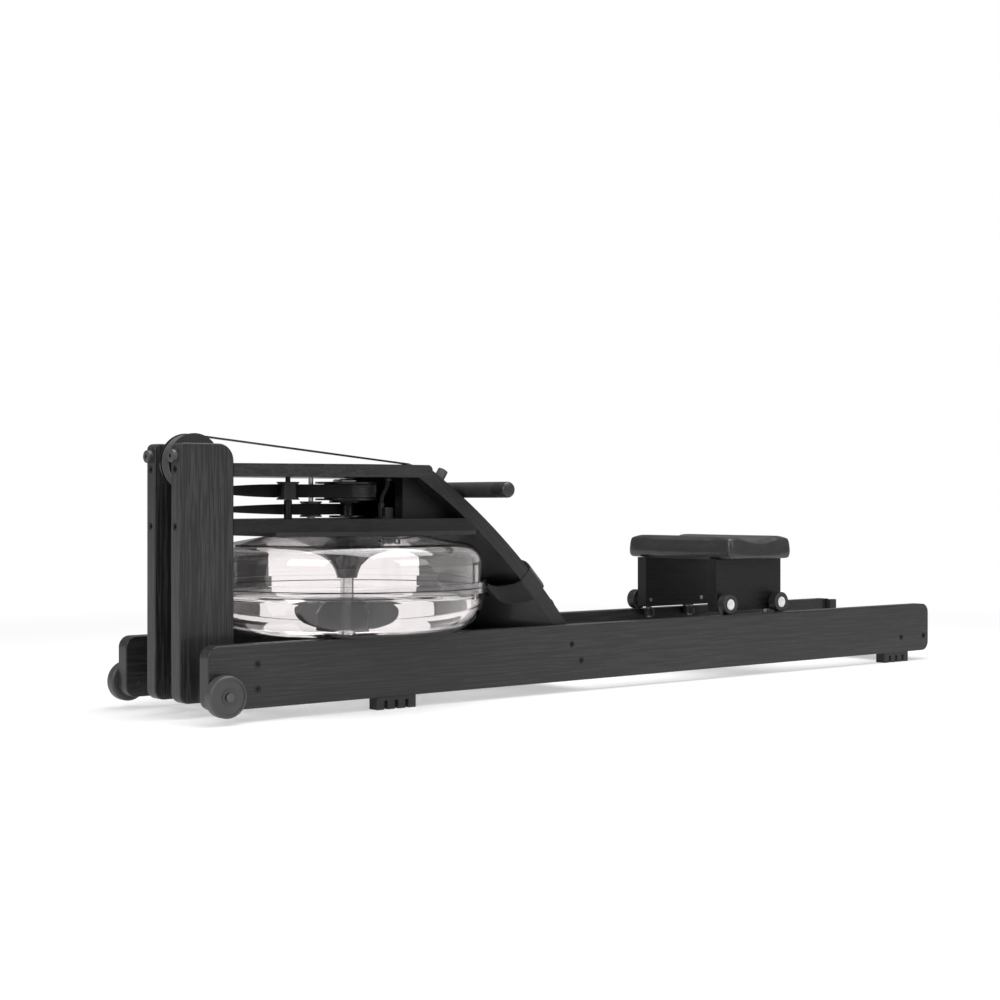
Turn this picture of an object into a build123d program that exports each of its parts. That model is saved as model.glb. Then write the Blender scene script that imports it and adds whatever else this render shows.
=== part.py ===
from build123d import *
import os
from math import asin, atan2, cos, degrees, hypot, radians, sin, tan

# Dual-rail water rowing machine, in millimetres. X runs from the front uprights to the seat end, Z is up,
# and the origin is on the floor under the middle of the machine. Places along X named *_at are measured
# from the front end of the rails, those named *_in from the rear end or edge that they stand inside, and those
# named *_back forwards from the tank's axis.

# Timber rails and the boards between them
rail_length = 2080
rail_height = 117
rail_thick = 32
rail_gap = 277
rail_corner = 22
edge_round = 2.5
foot_height = 24
foot_length = 93
foot_width = 28
foot_lugs = 4
foot_lug_width = 18
foot_web = 7
front_foot_at = 417
rear_foot_in = 125
spacer_at = 102
spacer_thick = 32
spacer_height = 84
spacer_lift = 40
spacer_bolt_pitch = 45
crossboard_in = 65
crossboard_length = 130
crossboard_bolt_pitch = 90
crossboard_lift = 46
crossboard_thick = 30

# Uprights, decks and footboard
upright_thick = 32
upright_gap = 60
upright_depth = 115
upright_height = 480
upright_lift = 28
upright_setback = 3
upright_shoulder = 32
upright_corner = 11
upright_heel = 20
deck_thick = 25
deck_space = 81
deck_end_in = 163.5
deck_taper = 260
deck_nose = 11
deck_block_thick = 25
deck_block_gap = 5.5
deck_block_inset = 40
foot_radius = 1472
foot_slope = 32.55
foot_lead = 3
foot_thick = 30
foot_end_angle = 54.9
cleat_start_angle = 51.2
cleat_bolt_angles = (52.15, 53.9)
cleat_bolt_depth = 7

# Bolts
bolt_radius = 3.5
bolt_head_radius = 7
bolt_head_height = 4
bolt_recess = 1
bolt_grip = 30
bolt_socket = 3.5
bolt_socket_depth = 2.5
hole_clearance = 0.1

# Water tank
tank_gap = 24.5
tank_radius = 274
tank_height = 192
tank_wall = 4
tank_bilge = 67
tank_shoulder = 42
roof_flat = 150
roof_fall = 10.4
flange_reach = 8.5
flange_height = 21
flange_lift = 79
seal_thick = 1.6
seal_width = 7
pad_thick = 8
pad_inset = 54
plug_back = 37
plug_out = 45
plug_radius = 14
plug_lip = 3
plug_boss = 21
plug_sink = 5
cone_wall = 3
cone_radius = 148
cone_height = 82
cone_lip = 9
cone_flare = ((0.2, 1), (4, 1))

# Drive: shaft, paddle, drum, pulleys and straps
shaft_radius = 13
journal_radius = 8
journal_drop = 8
shaft_gap = 2
bearing_radius = 20
bearing_height = 12
running_fit = 0.05
face_gap = 0.3
blade_count = 6
blade_radius = 84
blade_turn = 20
blade_thick = 3
blade_height = 46
blade_lift = 2
blade_waist = 50
blade_crown = 40
blade_knee = 36
paddle_hub = 18
drum_radius = 64
drum_core = 46
spool_radius = 36
spool_core = 14
drum_flange = 4
drum_step = 5
drum_gap = 2
cap_radius = 28
cap_height = 5
winding_radius = 60
groove_gap = 1.5
strap_width = 26
strap_thick = 2
recoil_width = 22
top_pulley_groove = 51
top_pulley_lip = 4
recoil_pulley_groove = 22
pulley_lip = 4
pulley_flange = 3
axle_radius = 6
axle_bite = 10
axle_sleeve = 6
idler_radius = 20
post_radius = 5
post_collar = 3
drive_idler_back = 153.5
recoil_idler_back = 72.5
twist_steps = 9
strap_drop = 55
strap_lap = 0.5
bungee_radius = 5
bungee_pin_z = 62
crimp_size = 16
sensor_place = (50, -70)
sensor_size = (20, 14, 22)
pickup_place = (41, -61)
pickup_size = (10, 10, 30)
sensor_plate = 3
lead_radius = 3.5
lead_rise = 14
lead_bend = 12
gland_place = (52, -70)
gland_radius = 8
gland_height = 6

# Handle, pegs, foot straps and heel rests
handle_past = 101
handle_z = 423
handle_radius = 16
handle_length = 515
cap_length = 40
cap_round = 9
clevis_width = 56
clevis_wall = 5
clevis_spread = 0.5
peg_angle = 33.7
peg_radius = 10.5
peg_height = 20
peg_y = 125
rest_angle = 33.5
rest_lift = 22
rest_radius = 10
rest_width = 44
strap_angle = 46.2
foot_strap_width = 54
foot_strap_thick = 2.5
foot_strap_rise = 26
foot_strap_sag = 28
strap_slot_y = 15
strap_slot_length = 60
strap_slot_width = 6
heel_angle = 49.2
heel_y = 68
heel_width = 80
heel_length = 84
heel_plate = 5
heel_wall = 5
heel_reach = 38
heel_rise = 20
heel_corner = 36

# Seat and its running gear
seat_at = 1459
seat_length = 214
seat_width = 340
seat_thick = 45
seat_corner = 12
seat_dip = 9
seat_dip_radius = 200
seat_form = ((0, 5), (0.1, 1), (0.22, 0), (0.65, 2), (0.86, 4.5), (1, 9))
seat_base_thick = 4
seat_base_inset = 6
side_length = 220
side_thick = 30
side_outer = 130
side_lift = 7
side_height = 118
wheel_radius = 23
wheel_width = 23
wheel_gap = 7
wheel_pitch = 173
wheel_shift = -7
wheel_tyre = 5
wheel_hub = 13
wheel_dish = 1.7
wheel_axle = 5
guide_radius = 13.5
guide_height = 15
guide_drop = 1
guide_pitch = 137
guide_shift = -8
guide_pin = 3.5
guide_pin_grip = 5
stop_size = (26, 14, 30)
stop_drop = 2
stop_in = 14

# Transport wheels and storage bumpers
bumper_reach = 8
bumper_radius = 12
bumper_z = 484
bumper_hole = 4
bumper_hole_depth = 5
roller_at = 27
roller_z = 51.5
roller_radius = 38.5
roller_width = 24
roller_washer = 3
roller_axle = 4.5
roller_rim = 6
roller_dish = 1.5
roller_head = 8
roller_head_height = 4

# Levels and places worked out from the sizes above
front_x = bumper_reach - (rail_length + bumper_reach) / 2
rail_inner = rail_gap / 2
rail_outer = rail_inner + rail_thick
rail_top = foot_height + rail_height
tank_x = front_x + upright_setback + upright_depth + tank_gap + tank_radius
tank_top_z = rail_top + tank_height
flange_low = rail_top + flange_lift
flange_mid = flange_low + flange_height / 2
deck_low = tank_top_z + pad_thick
deck_floor = deck_low + deck_thick
deck_roof = deck_floor + deck_space
deck_top = deck_roof + deck_thick
deck_start = front_x + upright_setback + upright_depth
deck_end = tank_x + tank_radius - deck_end_in
upright_mid = front_x + upright_setback + upright_depth / 2
upright_y = (upright_gap + upright_thick) / 2
upright_outer = upright_gap / 2 + upright_thick
foot_x = deck_end - foot_radius * sin(radians(foot_slope))
foot_z = deck_top - deck_nose - foot_radius * cos(radians(foot_slope))
spacer_x = front_x + spacer_at
rear_x = front_x + rail_length
crossboard_x = rear_x - crossboard_in
seat_x = front_x + seat_at
side_low = rail_top + side_lift
side_high = side_low + side_height
seat_low = side_high + seat_base_thick
wheel_z = rail_top + face_gap + wheel_radius
spool_low = deck_floor + drum_gap
recoil_z = spool_low + drum_flange + groove_gap + recoil_width / 2
drum_low = recoil_z + recoil_width / 2 + groove_gap
drive_z = drum_low + drum_step + drum_flange + groove_gap + strap_width / 2
drum_high = drive_z + strap_width / 2 + groove_gap + drum_flange
top_pulley_strap = top_pulley_groove + face_gap + strap_thick / 2
recoil_strap_radius = recoil_pulley_groove + face_gap + strap_thick / 2
top_pulley_z = drive_z + top_pulley_strap
recoil_pulley_z = recoil_z - recoil_strap_radius
idler_y = idler_radius + face_gap + strap_thick / 2
sides = {"left": 1, "right": -1}


def side_plane(y):
    """Upright plane across the machine at y: its axes are X and Z."""
    return Plane(origin=(0, y, 0), x_dir=(1, 0, 0), z_dir=(0, -1, 0))


def on_foot(angle, lift=0):
    """X and Z of the footboard's outer face at an angle from the vertical, raised by lift."""
    reach = foot_radius + lift
    return foot_x + reach * sin(radians(angle)), foot_z + reach * cos(radians(angle))


def foot_plane(angle, y, lift=0):
    """Plane on the footboard's outer face: x runs down the slope and z stands off the board."""
    x, z = on_foot(angle, lift)
    a = radians(angle)
    return Plane(origin=(x, y, z), x_dir=(cos(a), 0, -sin(a)), z_dir=(sin(a), 0, cos(a)))


def save(piece, name):
    """Labels a finished piece and writes it."""
    piece.part.label = name
    export_step(piece.part, f"parts/{name}.step")


def drill(points, radius, depth=rail_outer):
    """Cuts holes along Y through the open part, out to depth each side of the middle."""
    with BuildSketch(side_plane(0)) as holes:
        with Locations(*points):
            Circle(radius)
    extrude(holes.sketch, amount=depth, both=True, mode=Mode.SUBTRACT)


def foot_band(inner, outer, start, end):
    """Sketches the slice of the footboard's curve between two radii and two angles."""
    with Locations((foot_x, foot_z)):
        Circle(foot_radius + outer)
        Circle(foot_radius + inner, mode=Mode.SUBTRACT)
    far = 2 * foot_radius
    corners = [(foot_x, foot_z)]
    for angle in (start, end):
        corners.append((foot_x + far * sin(radians(angle)), foot_z + far * cos(radians(angle))))
    Polygon(*corners, align=None, mode=Mode.INTERSECT)


os.makedirs("parts", exist_ok=True)

# Bolt places on the rails' outer faces, as X and Z
spacer_mid = spacer_lift + spacer_height / 2
crossboard_mid = crossboard_lift + crossboard_thick / 2
front_bolts = [(spacer_x, spacer_mid + s * spacer_bolt_pitch / 2) for s in (-1, 1)]
foot_bolts = [on_foot(a, -foot_thick - cleat_bolt_depth) for a in cleat_bolt_angles]
rear_bolts = [(crossboard_x + s * crossboard_bolt_pitch / 2, crossboard_mid) for s in (-1, 1)]
rail_bolt_places = front_bolts + foot_bolts + rear_bolts
roller_place = (front_x + roller_at, roller_z)
deck_bolt_z = [deck_low + deck_thick / 2, deck_roof + deck_thick / 2]
axle_places = [(upright_mid, top_pulley_z, axle_radius), (upright_mid, recoil_pulley_z, axle_radius),
               (upright_mid - recoil_strap_radius, bungee_pin_z, post_radius)]

# Rails: long boards on edge with rounded corners, drilled for their bolts and wheel axles
for name, side in sides.items():
    with BuildPart() as rail:
        with BuildSketch(side_plane(side * (rail_inner + rail_thick / 2))):
            with Locations((front_x + rail_length / 2, foot_height + rail_height / 2)):
                RectangleRounded(rail_length, rail_height, rail_corner)
        extrude(amount=rail_thick / 2, both=True)
        fillet(rail.faces().filter_by(Axis.Y).edges(), radius=edge_round)
        drill(rail_bolt_places, bolt_radius + hole_clearance)
        drill([roller_place], roller_axle + hole_clearance)
        with BuildSketch(side_plane(side * rail_outer)):
            with Locations(*rail_bolt_places):
                Circle(bolt_head_radius + hole_clearance)
        extrude(amount=side * (bolt_recess + bolt_head_height), mode=Mode.SUBTRACT)
    save(rail, f"{name}_rail")

# Blocks that space the rails from the uprights and the uprights from each other
with BuildPart() as spacers:
    with BuildSketch(Plane.XY.offset(spacer_lift)):
        with Locations((spacer_x, 0)):
            Rectangle(spacer_thick, upright_gap)
        for side in sides.values():
            with Locations((spacer_x, side * (upright_outer + rail_inner) / 2)):
                Rectangle(spacer_thick, rail_inner - upright_outer)
    extrude(amount=spacer_height)
    drill(front_bolts, bolt_radius + hole_clearance)
save(spacers, "front_spacers")

# Flat board that ties the rails together at the seat end
with BuildPart() as crossboard:
    with BuildSketch(Plane.XY.offset(crossboard_lift)):
        with Locations((crossboard_x, 0)):
            Rectangle(crossboard_length, rail_gap)
    extrude(amount=crossboard_thick)
    drill(rear_bolts, bolt_radius + hole_clearance)
save(crossboard, "rear_crossboard")

# Uprights: boards on edge with a large rounded shoulder at the top rear
for name, side in sides.items():
    with BuildPart() as upright:
        with BuildSketch(side_plane(side * upright_y)) as outline:
            with Locations((upright_mid, upright_lift + upright_height / 2)):
                Rectangle(upright_depth, upright_height)
            fillet(outline.vertices().group_by(Axis.Y)[0], radius=upright_heel)
            fillet(outline.vertices().group_by(Axis.Y)[-1].sort_by(Axis.X)[0], radius=upright_corner)
            fillet(outline.vertices().group_by(Axis.X)[-1].sort_by(Axis.Y)[-1], radius=upright_shoulder)
        extrude(amount=upright_thick / 2, both=True)
        fillet(upright.faces().filter_by(Axis.Y).edges(), radius=edge_round)
        for x, z, radius in axle_places:
            drill([(x, z)], radius + hole_clearance, depth=upright_gap / 2 + axle_bite)
        drill(front_bolts, bolt_radius + hole_clearance)
        place = (front_x + upright_setback, side * upright_y, 0)
        face = Plane(origin=place, x_dir=(0, -1, 0), z_dir=(-1, 0, 0))
        with BuildSketch(face):
            with Locations(*[(0, z) for z in deck_bolt_z]):
                Circle(bolt_radius + hole_clearance)
        extrude(amount=-upright_depth, mode=Mode.SUBTRACT)
        with BuildSketch(face):
            with Locations(*[(0, z) for z in deck_bolt_z]):
                Circle(bolt_head_radius + hole_clearance)
        extrude(amount=-bolt_recess - bolt_head_height, mode=Mode.SUBTRACT)
    save(upright, f"{name}_upright")


def deck_plan(mode=Mode.ADD):
    """Sketches the decks from above: as wide as the uprights at the front, widening to the rails' gap."""
    corners = [(deck_start, upright_outer), (deck_start + deck_taper, rail_inner),
               (deck_end + rail_gap, rail_inner)]
    Polygon(*corners, *[(x, -y) for x, y in reversed(corners)], align=None, mode=mode)


# Decks: two level boards from the uprights to the footboard, the upper one with a rounded nose
shaft_hole = journal_radius + shaft_gap
post_places = [(tank_x - drive_idler_back, -idler_y), (tank_x - recoil_idler_back, idler_y)]
gland_spot = (tank_x + gland_place[0], gland_place[1])
for name, low in (("bottom_deck", deck_low), ("top_deck", deck_roof)):
    with BuildPart() as deck:
        with BuildSketch(side_plane(0)) as outline:
            with BuildLine():
                end = deck_end if name == "top_deck" else deck_end + rail_gap
                high = low + deck_thick
                Polyline((deck_start, low), (end, low), (end, high), (deck_start, high), close=True)
            make_face()
            if name == "top_deck":
                fillet(outline.vertices().group_by(Axis.X)[-1].sort_by(Axis.Y)[-1], radius=deck_nose)
            else:
                with Locations((foot_x, foot_z)):
                    Circle(foot_radius - foot_thick, mode=Mode.INTERSECT)
        extrude(amount=rail_inner, both=True)
        with BuildSketch(Plane.XY.offset(low)):
            deck_plan()
        extrude(amount=deck_thick, mode=Mode.INTERSECT)
        inward = low if name == "top_deck" else low + deck_thick
        with BuildSketch(Plane.XY.offset(inward)):
            with Locations(*post_places):
                Circle(post_radius + hole_clearance)
        extrude(amount=deck_thick / 2 if name == "top_deck" else -deck_thick / 2, mode=Mode.SUBTRACT)
        bolts = Plane(origin=(deck_start, 0, low + deck_thick / 2), x_dir=(0, 1, 0), z_dir=(1, 0, 0))
        with BuildSketch(bolts):
            with Locations(*[(side * upright_y, 0) for side in sides.values()]):
                Circle(bolt_radius + hole_clearance)
        extrude(amount=bolt_grip, mode=Mode.SUBTRACT)
        if name == "bottom_deck":
            with Locations((tank_x, 0, deck_floor)):
                CounterBoreHole(shaft_hole, bearing_radius + hole_clearance, bearing_height)
        else:
            with BuildSketch(Plane.XY.offset(deck_roof)):
                with Locations(gland_spot):
                    Circle(lead_radius + hole_clearance)
            extrude(amount=deck_thick / 2, mode=Mode.SUBTRACT)
    save(deck, name)

# Blocks that hold the decks apart from behind the sensor to the footboard, cut to its curve
with BuildPart() as blocks:
    block_x = tank_x + sensor_place[0] + sensor_size[0] / 2 + deck_block_gap
    block_outer = rail_inner - deck_block_inset
    with BuildSketch(side_plane(0)):
        with BuildLine():
            far = deck_end + rail_gap
            Polyline((block_x, deck_floor), (far, deck_floor), (far, deck_roof), (block_x, deck_roof),
                     close=True)
        make_face()
        with Locations((foot_x, foot_z)):
            Circle(foot_radius - foot_thick, mode=Mode.INTERSECT)
    extrude(amount=block_outer, both=True)
    with BuildSketch(side_plane(0)):
        with Locations((deck_end, (deck_floor + deck_roof) / 2)):
            Rectangle(2 * rail_gap, 2 * deck_space)
    extrude(amount=block_outer - deck_block_thick, both=True, mode=Mode.SUBTRACT)
save(blocks, "deck_blocks")

# Footboard: one curved board from the deck's nose down between the rails, slotted for the foot straps
with BuildPart() as footboard:
    with BuildSketch(side_plane(0)):
        foot_band(-foot_thick, 0, foot_slope - foot_lead, foot_end_angle)
        with Locations((deck_end - foot_radius / 2, deck_roof + foot_radius / 2)):
            Rectangle(foot_radius, foot_radius, mode=Mode.SUBTRACT)
    extrude(amount=rail_inner, both=True)
    for side in sides.values():
        with BuildSketch(foot_plane(strap_angle, side * strap_slot_y)):
            Rectangle(strap_slot_length, strap_slot_width)
        extrude(amount=-2 * foot_thick, mode=Mode.SUBTRACT)
        with BuildSketch(foot_plane(peg_angle, side * peg_y)):
            Circle(peg_radius / 2 + hole_clearance)
        extrude(amount=-foot_thick / 2, mode=Mode.SUBTRACT)
save(footboard, "footboard")

# Cleat under the footboard's foot, bolted through both rails
with BuildPart() as cleat:
    with BuildSketch(side_plane(0)):
        foot_band(-foot_thick - deck_thick, -foot_thick, cleat_start_angle, foot_end_angle)
    extrude(amount=rail_inner, both=True)
    drill(foot_bolts, bolt_radius + hole_clearance)
save(cleat, "footboard_cleat")

# Bolts: low round heads with hexagon sockets, sunk in the rails and the uprights' front edges
with BuildPart() as rail_bolts:
    for side in sides.values():
        head = rail_outer - bolt_recess
        with BuildSketch(side_plane(side * head)):
            with Locations(*rail_bolt_places):
                Circle(bolt_head_radius)
        extrude(amount=side * bolt_head_height)
        with BuildSketch(side_plane(side * (head - bolt_head_height))):
            with Locations(*rail_bolt_places):
                Circle(bolt_radius)
        extrude(amount=side * (rail_thick - bolt_recess - bolt_head_height + bolt_grip))
        with BuildSketch(side_plane(side * head)):
            with Locations(*rail_bolt_places):
                RegularPolygon(bolt_socket, 6)
        extrude(amount=side * bolt_socket_depth, mode=Mode.SUBTRACT)
    head_x = front_x + upright_setback + bolt_recess
    upright_bolts = [(side * upright_y, z) for side in sides.values() for z in deck_bolt_z]
    for x, radius, length in ((head_x, bolt_head_radius, bolt_head_height),
                              (head_x + bolt_head_height, bolt_radius,
                               upright_depth - bolt_recess - bolt_head_height + bolt_grip)):
        with BuildSketch(Plane(origin=(x, 0, 0), x_dir=(0, 1, 0), z_dir=(1, 0, 0))):
            with Locations(*upright_bolts):
                Circle(radius)
        extrude(amount=length)
    with BuildSketch(Plane(origin=(head_x, 0, 0), x_dir=(0, 1, 0), z_dir=(1, 0, 0))):
        with Locations(*upright_bolts):
            RegularPolygon(bolt_socket, 6)
    extrude(amount=bolt_socket_depth, mode=Mode.SUBTRACT)
save(rail_bolts, "frame_bolts")

# Ribbed rubber feet under the rails
with BuildPart() as feet:
    for x in (front_x + front_foot_at, rear_x - rear_foot_in):
        for side in sides.values():
            y = side * (rail_inner + rail_thick / 2)
            with BuildSketch(Plane.XY.offset(foot_height)):
                with Locations((x, y)):
                    Rectangle(foot_length, foot_width)
            extrude(amount=-foot_web)
            pitch = (foot_length - foot_lug_width) / (foot_lugs - 1)
            with BuildSketch(Plane.XY):
                with Locations((x, y)):
                    with GridLocations(pitch, 0, foot_lugs, 1):
                        Rectangle(foot_lug_width, foot_width)
            extrude(amount=foot_height - foot_web)
    lugs = feet.edges().filter_by(Axis.Z).filter_by(lambda e: e.center().Z < foot_height - foot_web)
    fillet(lugs, radius=edge_round)
save(feet, "rubber_feet")

# Storage bumpers on the uprights' front edges, with a screw recess in each
with BuildPart() as bumpers:
    for side in sides.values():
        face = Plane(origin=(front_x + upright_setback, side * upright_y, bumper_z), x_dir=(0, 1, 0),
                     z_dir=(-1, 0, 0))
        with BuildSketch(face):
            Circle(bumper_radius)
        extrude(amount=bumper_reach + upright_setback)
    fillet(bumpers.edges().group_by(Axis.X)[0], radius=edge_round)
    for side in sides.values():
        with Locations(Plane(origin=(front_x - bumper_reach, side * upright_y, bumper_z), x_dir=(0, 1, 0),
                             z_dir=(-1, 0, 0))):
            Hole(bumper_hole, depth=bumper_hole_depth)
save(bumpers, "storage_bumpers")


def shell_line(wall, face, corner, fall, up):
    """Points of one tank surface from the axis out: level floor or roof, slope, rounded corner and wall."""
    slope = radians(fall)
    start = wall - corner * (1 - sin(slope))
    drop = (start - roof_flat) * tan(slope)
    turn = radians(45 + fall / 2)
    centre = (wall - corner, drop + corner * cos(slope))
    middle = (centre[0] + corner * sin(turn), centre[1] - corner * cos(turn))
    points = [(start, drop), middle, (wall, centre[1])]
    return [(x, face + up * z) for x, z in points]


def tank_profile(lower):
    """Half section of one tank shell: floor or roof, rounded corner, wall and half of the flange."""
    corner = tank_bilge if lower else tank_shoulder
    fall = 0 if lower else roof_fall
    up = 1 if lower else -1
    face = rail_top if lower else tank_top_z
    joint = flange_mid - up * seal_thick / 2
    lip = flange_mid - up * flange_height / 2
    middle = 0 if lower else shaft_hole
    inner = tank_radius - tank_wall
    skin = shell_line(tank_radius, face, corner, fall, up)
    lining = shell_line(inner, face + up * tank_wall, corner - tank_wall, fall, up)
    with BuildLine() as section:
        Polyline((middle, face), (roof_flat, face), skin[0])
        ThreePointArc(*skin)
        Polyline(skin[2], (tank_radius, lip), (tank_radius + flange_reach, lip),
                 (tank_radius + flange_reach, joint), (inner, joint), lining[2])
        ThreePointArc(*reversed(lining))
        under = face + up * tank_wall
        Polyline(lining[0], (roof_flat, under), (middle, under), (middle, face))
    make_face(section.edges())


tank_plane = Plane(origin=(tank_x, 0, 0), x_dir=(1, 0, 0), z_dir=(0, -1, 0))
tank_axis = Axis((tank_x, 0, 0), (0, 0, 1))
tank_floor = rail_top + tank_wall
plug_spot = (tank_x - plug_back, -roof_flat - plug_out)
plug_seat = tank_top_z - plug_sink

# Tank: two clear shells that meet at a flange, with a bearing cup in the floor
with BuildPart() as tank_bottom:
    with BuildSketch(tank_plane):
        tank_profile(True)
    revolve(axis=tank_axis)
    with BuildSketch(Plane.XY.offset(tank_floor)):
        with Locations((tank_x, 0)):
            Circle(bearing_radius + hole_clearance + tank_wall)
            Circle(bearing_radius + hole_clearance, mode=Mode.SUBTRACT)
    extrude(amount=bearing_height)
save(tank_bottom, "tank_bottom")

with BuildPart() as tank_top:
    with BuildSketch(tank_plane):
        tank_profile(False)
    revolve(axis=tank_axis)
    with BuildSketch(Plane.XY.offset(plug_seat)):
        with Locations(plug_spot):
            Circle(plug_boss)
    extrude(amount=-2 * plug_boss * tan(radians(roof_fall)) - tank_wall)
    with BuildSketch(Plane.XY.offset(plug_seat)):
        with Locations(plug_spot):
            Circle(plug_radius + face_gap)
    extrude(amount=-2 * plug_boss, mode=Mode.SUBTRACT)
save(tank_top, "tank_top")

with BuildPart() as seal:
    with BuildSketch(Plane.XY.offset(flange_mid - seal_thick / 2)):
        with Locations((tank_x, 0)):
            Circle(tank_radius + seal_width)
            Circle(tank_radius, mode=Mode.SUBTRACT)
    extrude(amount=seal_thick)
save(seal, "tank_seal")

with BuildPart() as pad:
    with BuildSketch(Plane.XY.offset(tank_top_z)):
        with Locations((tank_x, 0)):
            Rectangle(2 * (tank_radius - pad_inset), rail_gap)
            Circle(shaft_hole, mode=Mode.SUBTRACT)
        deck_plan(Mode.INTERSECT)
    extrude(amount=pad_thick)
save(pad, "tank_pad")

# Filler plug: a stepped bung that lifts straight out of the tank's roof
with BuildPart() as plug:
    with BuildSketch(Plane.XY.offset(plug_seat - 2 * tank_wall)):
        with Locations(plug_spot):
            Circle(plug_radius)
    extrude(amount=2 * tank_wall)
    with BuildSketch(Plane.XY.offset(plug_seat)):
        with Locations(plug_spot):
            Circle(plug_radius + plug_lip)
    extrude(amount=plug_lip)
    fillet(plug.edges().group_by(Axis.Z)[-1], radius=plug_lip / 3)
save(plug, "fill_plug")

# Splash cone: a thin trumpet round the shaft, flared out to meet the tank's roof
with BuildPart() as cone:
    rim = (tank_x + cone_radius, tank_top_z - tank_wall)
    neck = (tank_x + shaft_radius + 2 * shaft_gap + cone_wall, rim[1] - cone_height)
    with BuildSketch(side_plane(0)):
        with BuildLine():
            Spline(neck, rim, tangents=cone_flare)
            Line(neck, (neck[0] - cone_wall, neck[1]))
            lip = (rim[0] - cone_lip, rim[1])
            Spline((neck[0] - cone_wall, neck[1]), lip, tangents=cone_flare)
            Line(lip, rim)
        make_face()
    revolve(axis=tank_axis)
save(cone, "splash_cone")

# Shaft bearings: one in the tank's floor, one sunk in the bottom deck
with BuildPart() as bearings:
    for low in (tank_floor, deck_floor - bearing_height):
        with BuildSketch(Plane.XY.offset(low)):
            with Locations((tank_x, 0)):
                Circle(bearing_radius)
                Circle(journal_radius + running_fit, mode=Mode.SUBTRACT)
        extrude(amount=bearing_height)
save(bearings, "shaft_bearings")

# Paddle: a steel shaft and a hub with tapered blades, wide at the water line
with BuildPart() as shaft:
    with BuildSketch(Plane.XY.offset(tank_floor + face_gap)):
        with Locations((tank_x, 0)):
            Circle(journal_radius)
    extrude(amount=drum_high - tank_floor - 2 * face_gap)
    thick_low = tank_floor + bearing_height + face_gap
    with BuildSketch(Plane.XY.offset(thick_low)):
        with Locations((tank_x, 0)):
            Circle(shaft_radius)
    extrude(amount=tank_top_z - tank_wall - journal_drop - thick_low)
save(shaft, "paddle_shaft")

with BuildPart() as blades:
    blade_low = tank_floor + bearing_height + blade_lift
    with BuildSketch(Plane.XY.offset(blade_low)):
        with Locations((tank_x, 0)):
            Circle(paddle_hub)
    extrude(amount=blade_height)
    for turn in range(blade_count // 2):
        spin = blade_turn + turn * 360 / blade_count
        plate = Plane(origin=(tank_x, 0, blade_low), x_dir=(cos(radians(spin)), sin(radians(spin)), 0),
                      z_dir=(sin(radians(spin)), -cos(radians(spin)), 0))
        with BuildSketch(plate):
            with BuildLine():
                half = [(blade_waist, 0), (blade_radius, blade_knee), (blade_crown, blade_height)]
                Polyline(*half, *[(-x, z) for x, z in reversed(half)], close=True)
            make_face()
        extrude(amount=blade_thick / 2, both=True)
    with BuildSketch(Plane.XY.offset(blade_low)):
        with Locations((tank_x, 0)):
            Circle(shaft_radius)
    extrude(amount=blade_height, mode=Mode.SUBTRACT)
save(blades, "paddle_blades")

# Drum: one turned piece, the recoil spool below and the wide strap drum above
with BuildPart() as drum:
    bore = journal_radius + running_fit
    with BuildSketch(tank_plane):
        with BuildLine():
            Polyline((bore, spool_low), (spool_radius, spool_low), (spool_radius, spool_low + drum_flange),
                     (spool_core, spool_low + drum_flange), (spool_core, drum_low), (spool_radius, drum_low),
                     (spool_radius, drum_low + drum_step), (drum_radius, drum_low + drum_step),
                     (drum_radius, drum_low + drum_step + drum_flange),
                     (drum_core, drum_low + drum_step + drum_flange),
                     (drum_core, drum_high - drum_flange), (drum_radius, drum_high - drum_flange),
                     (drum_radius, drum_high), (bore, drum_high), close=True)
        make_face()
    revolve(axis=tank_axis)
save(drum, "drive_drum")

with BuildPart() as cap:
    with BuildSketch(Plane.XY.offset(drum_high)):
        with Locations((tank_x, 0)):
            Circle(cap_radius)
    extrude(amount=cap_height)
    fillet(cap.edges().group_by(Axis.Z)[-1], radius=edge_round)
save(cap, "drum_cap")

with BuildPart() as winding:
    with BuildSketch(Plane.XY.offset(drive_z - strap_width / 2)):
        with Locations((tank_x, 0)):
            Circle(winding_radius)
            Circle(drum_core + running_fit, mode=Mode.SUBTRACT)
    extrude(amount=strap_width)
save(winding, "strap_winding")


def make_pulley(z, groove, lip, width):
    """Flanged pulley between the uprights, turned about Y on its axle."""
    rim = width / 2 + groove_gap
    hub = upright_gap / 2 - face_gap
    with BuildPart() as pulley:
        with BuildSketch(Plane(origin=(upright_mid, 0, z), x_dir=(1, 0, 0), z_dir=(0, 0, 1))):
            with BuildLine():
                bore = axle_radius + running_fit
                edge = rim + pulley_flange
                sleeve = axle_radius + axle_sleeve
                Polyline((bore, -hub), (sleeve, -hub), (sleeve, -edge), (groove + lip, -edge),
                         (groove + lip, -rim), (groove, -rim), (groove, rim), (groove + lip, rim),
                         (groove + lip, edge), (sleeve, edge), (sleeve, hub), (bore, hub), close=True)
            make_face()
        revolve(axis=Axis((upright_mid, 0, z), (0, 1, 0)))
    return pulley


save(make_pulley(top_pulley_z, top_pulley_groove, top_pulley_lip, strap_width), "top_pulley")
save(make_pulley(recoil_pulley_z, recoil_pulley_groove, pulley_lip, recoil_width), "recoil_pulley")

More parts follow.
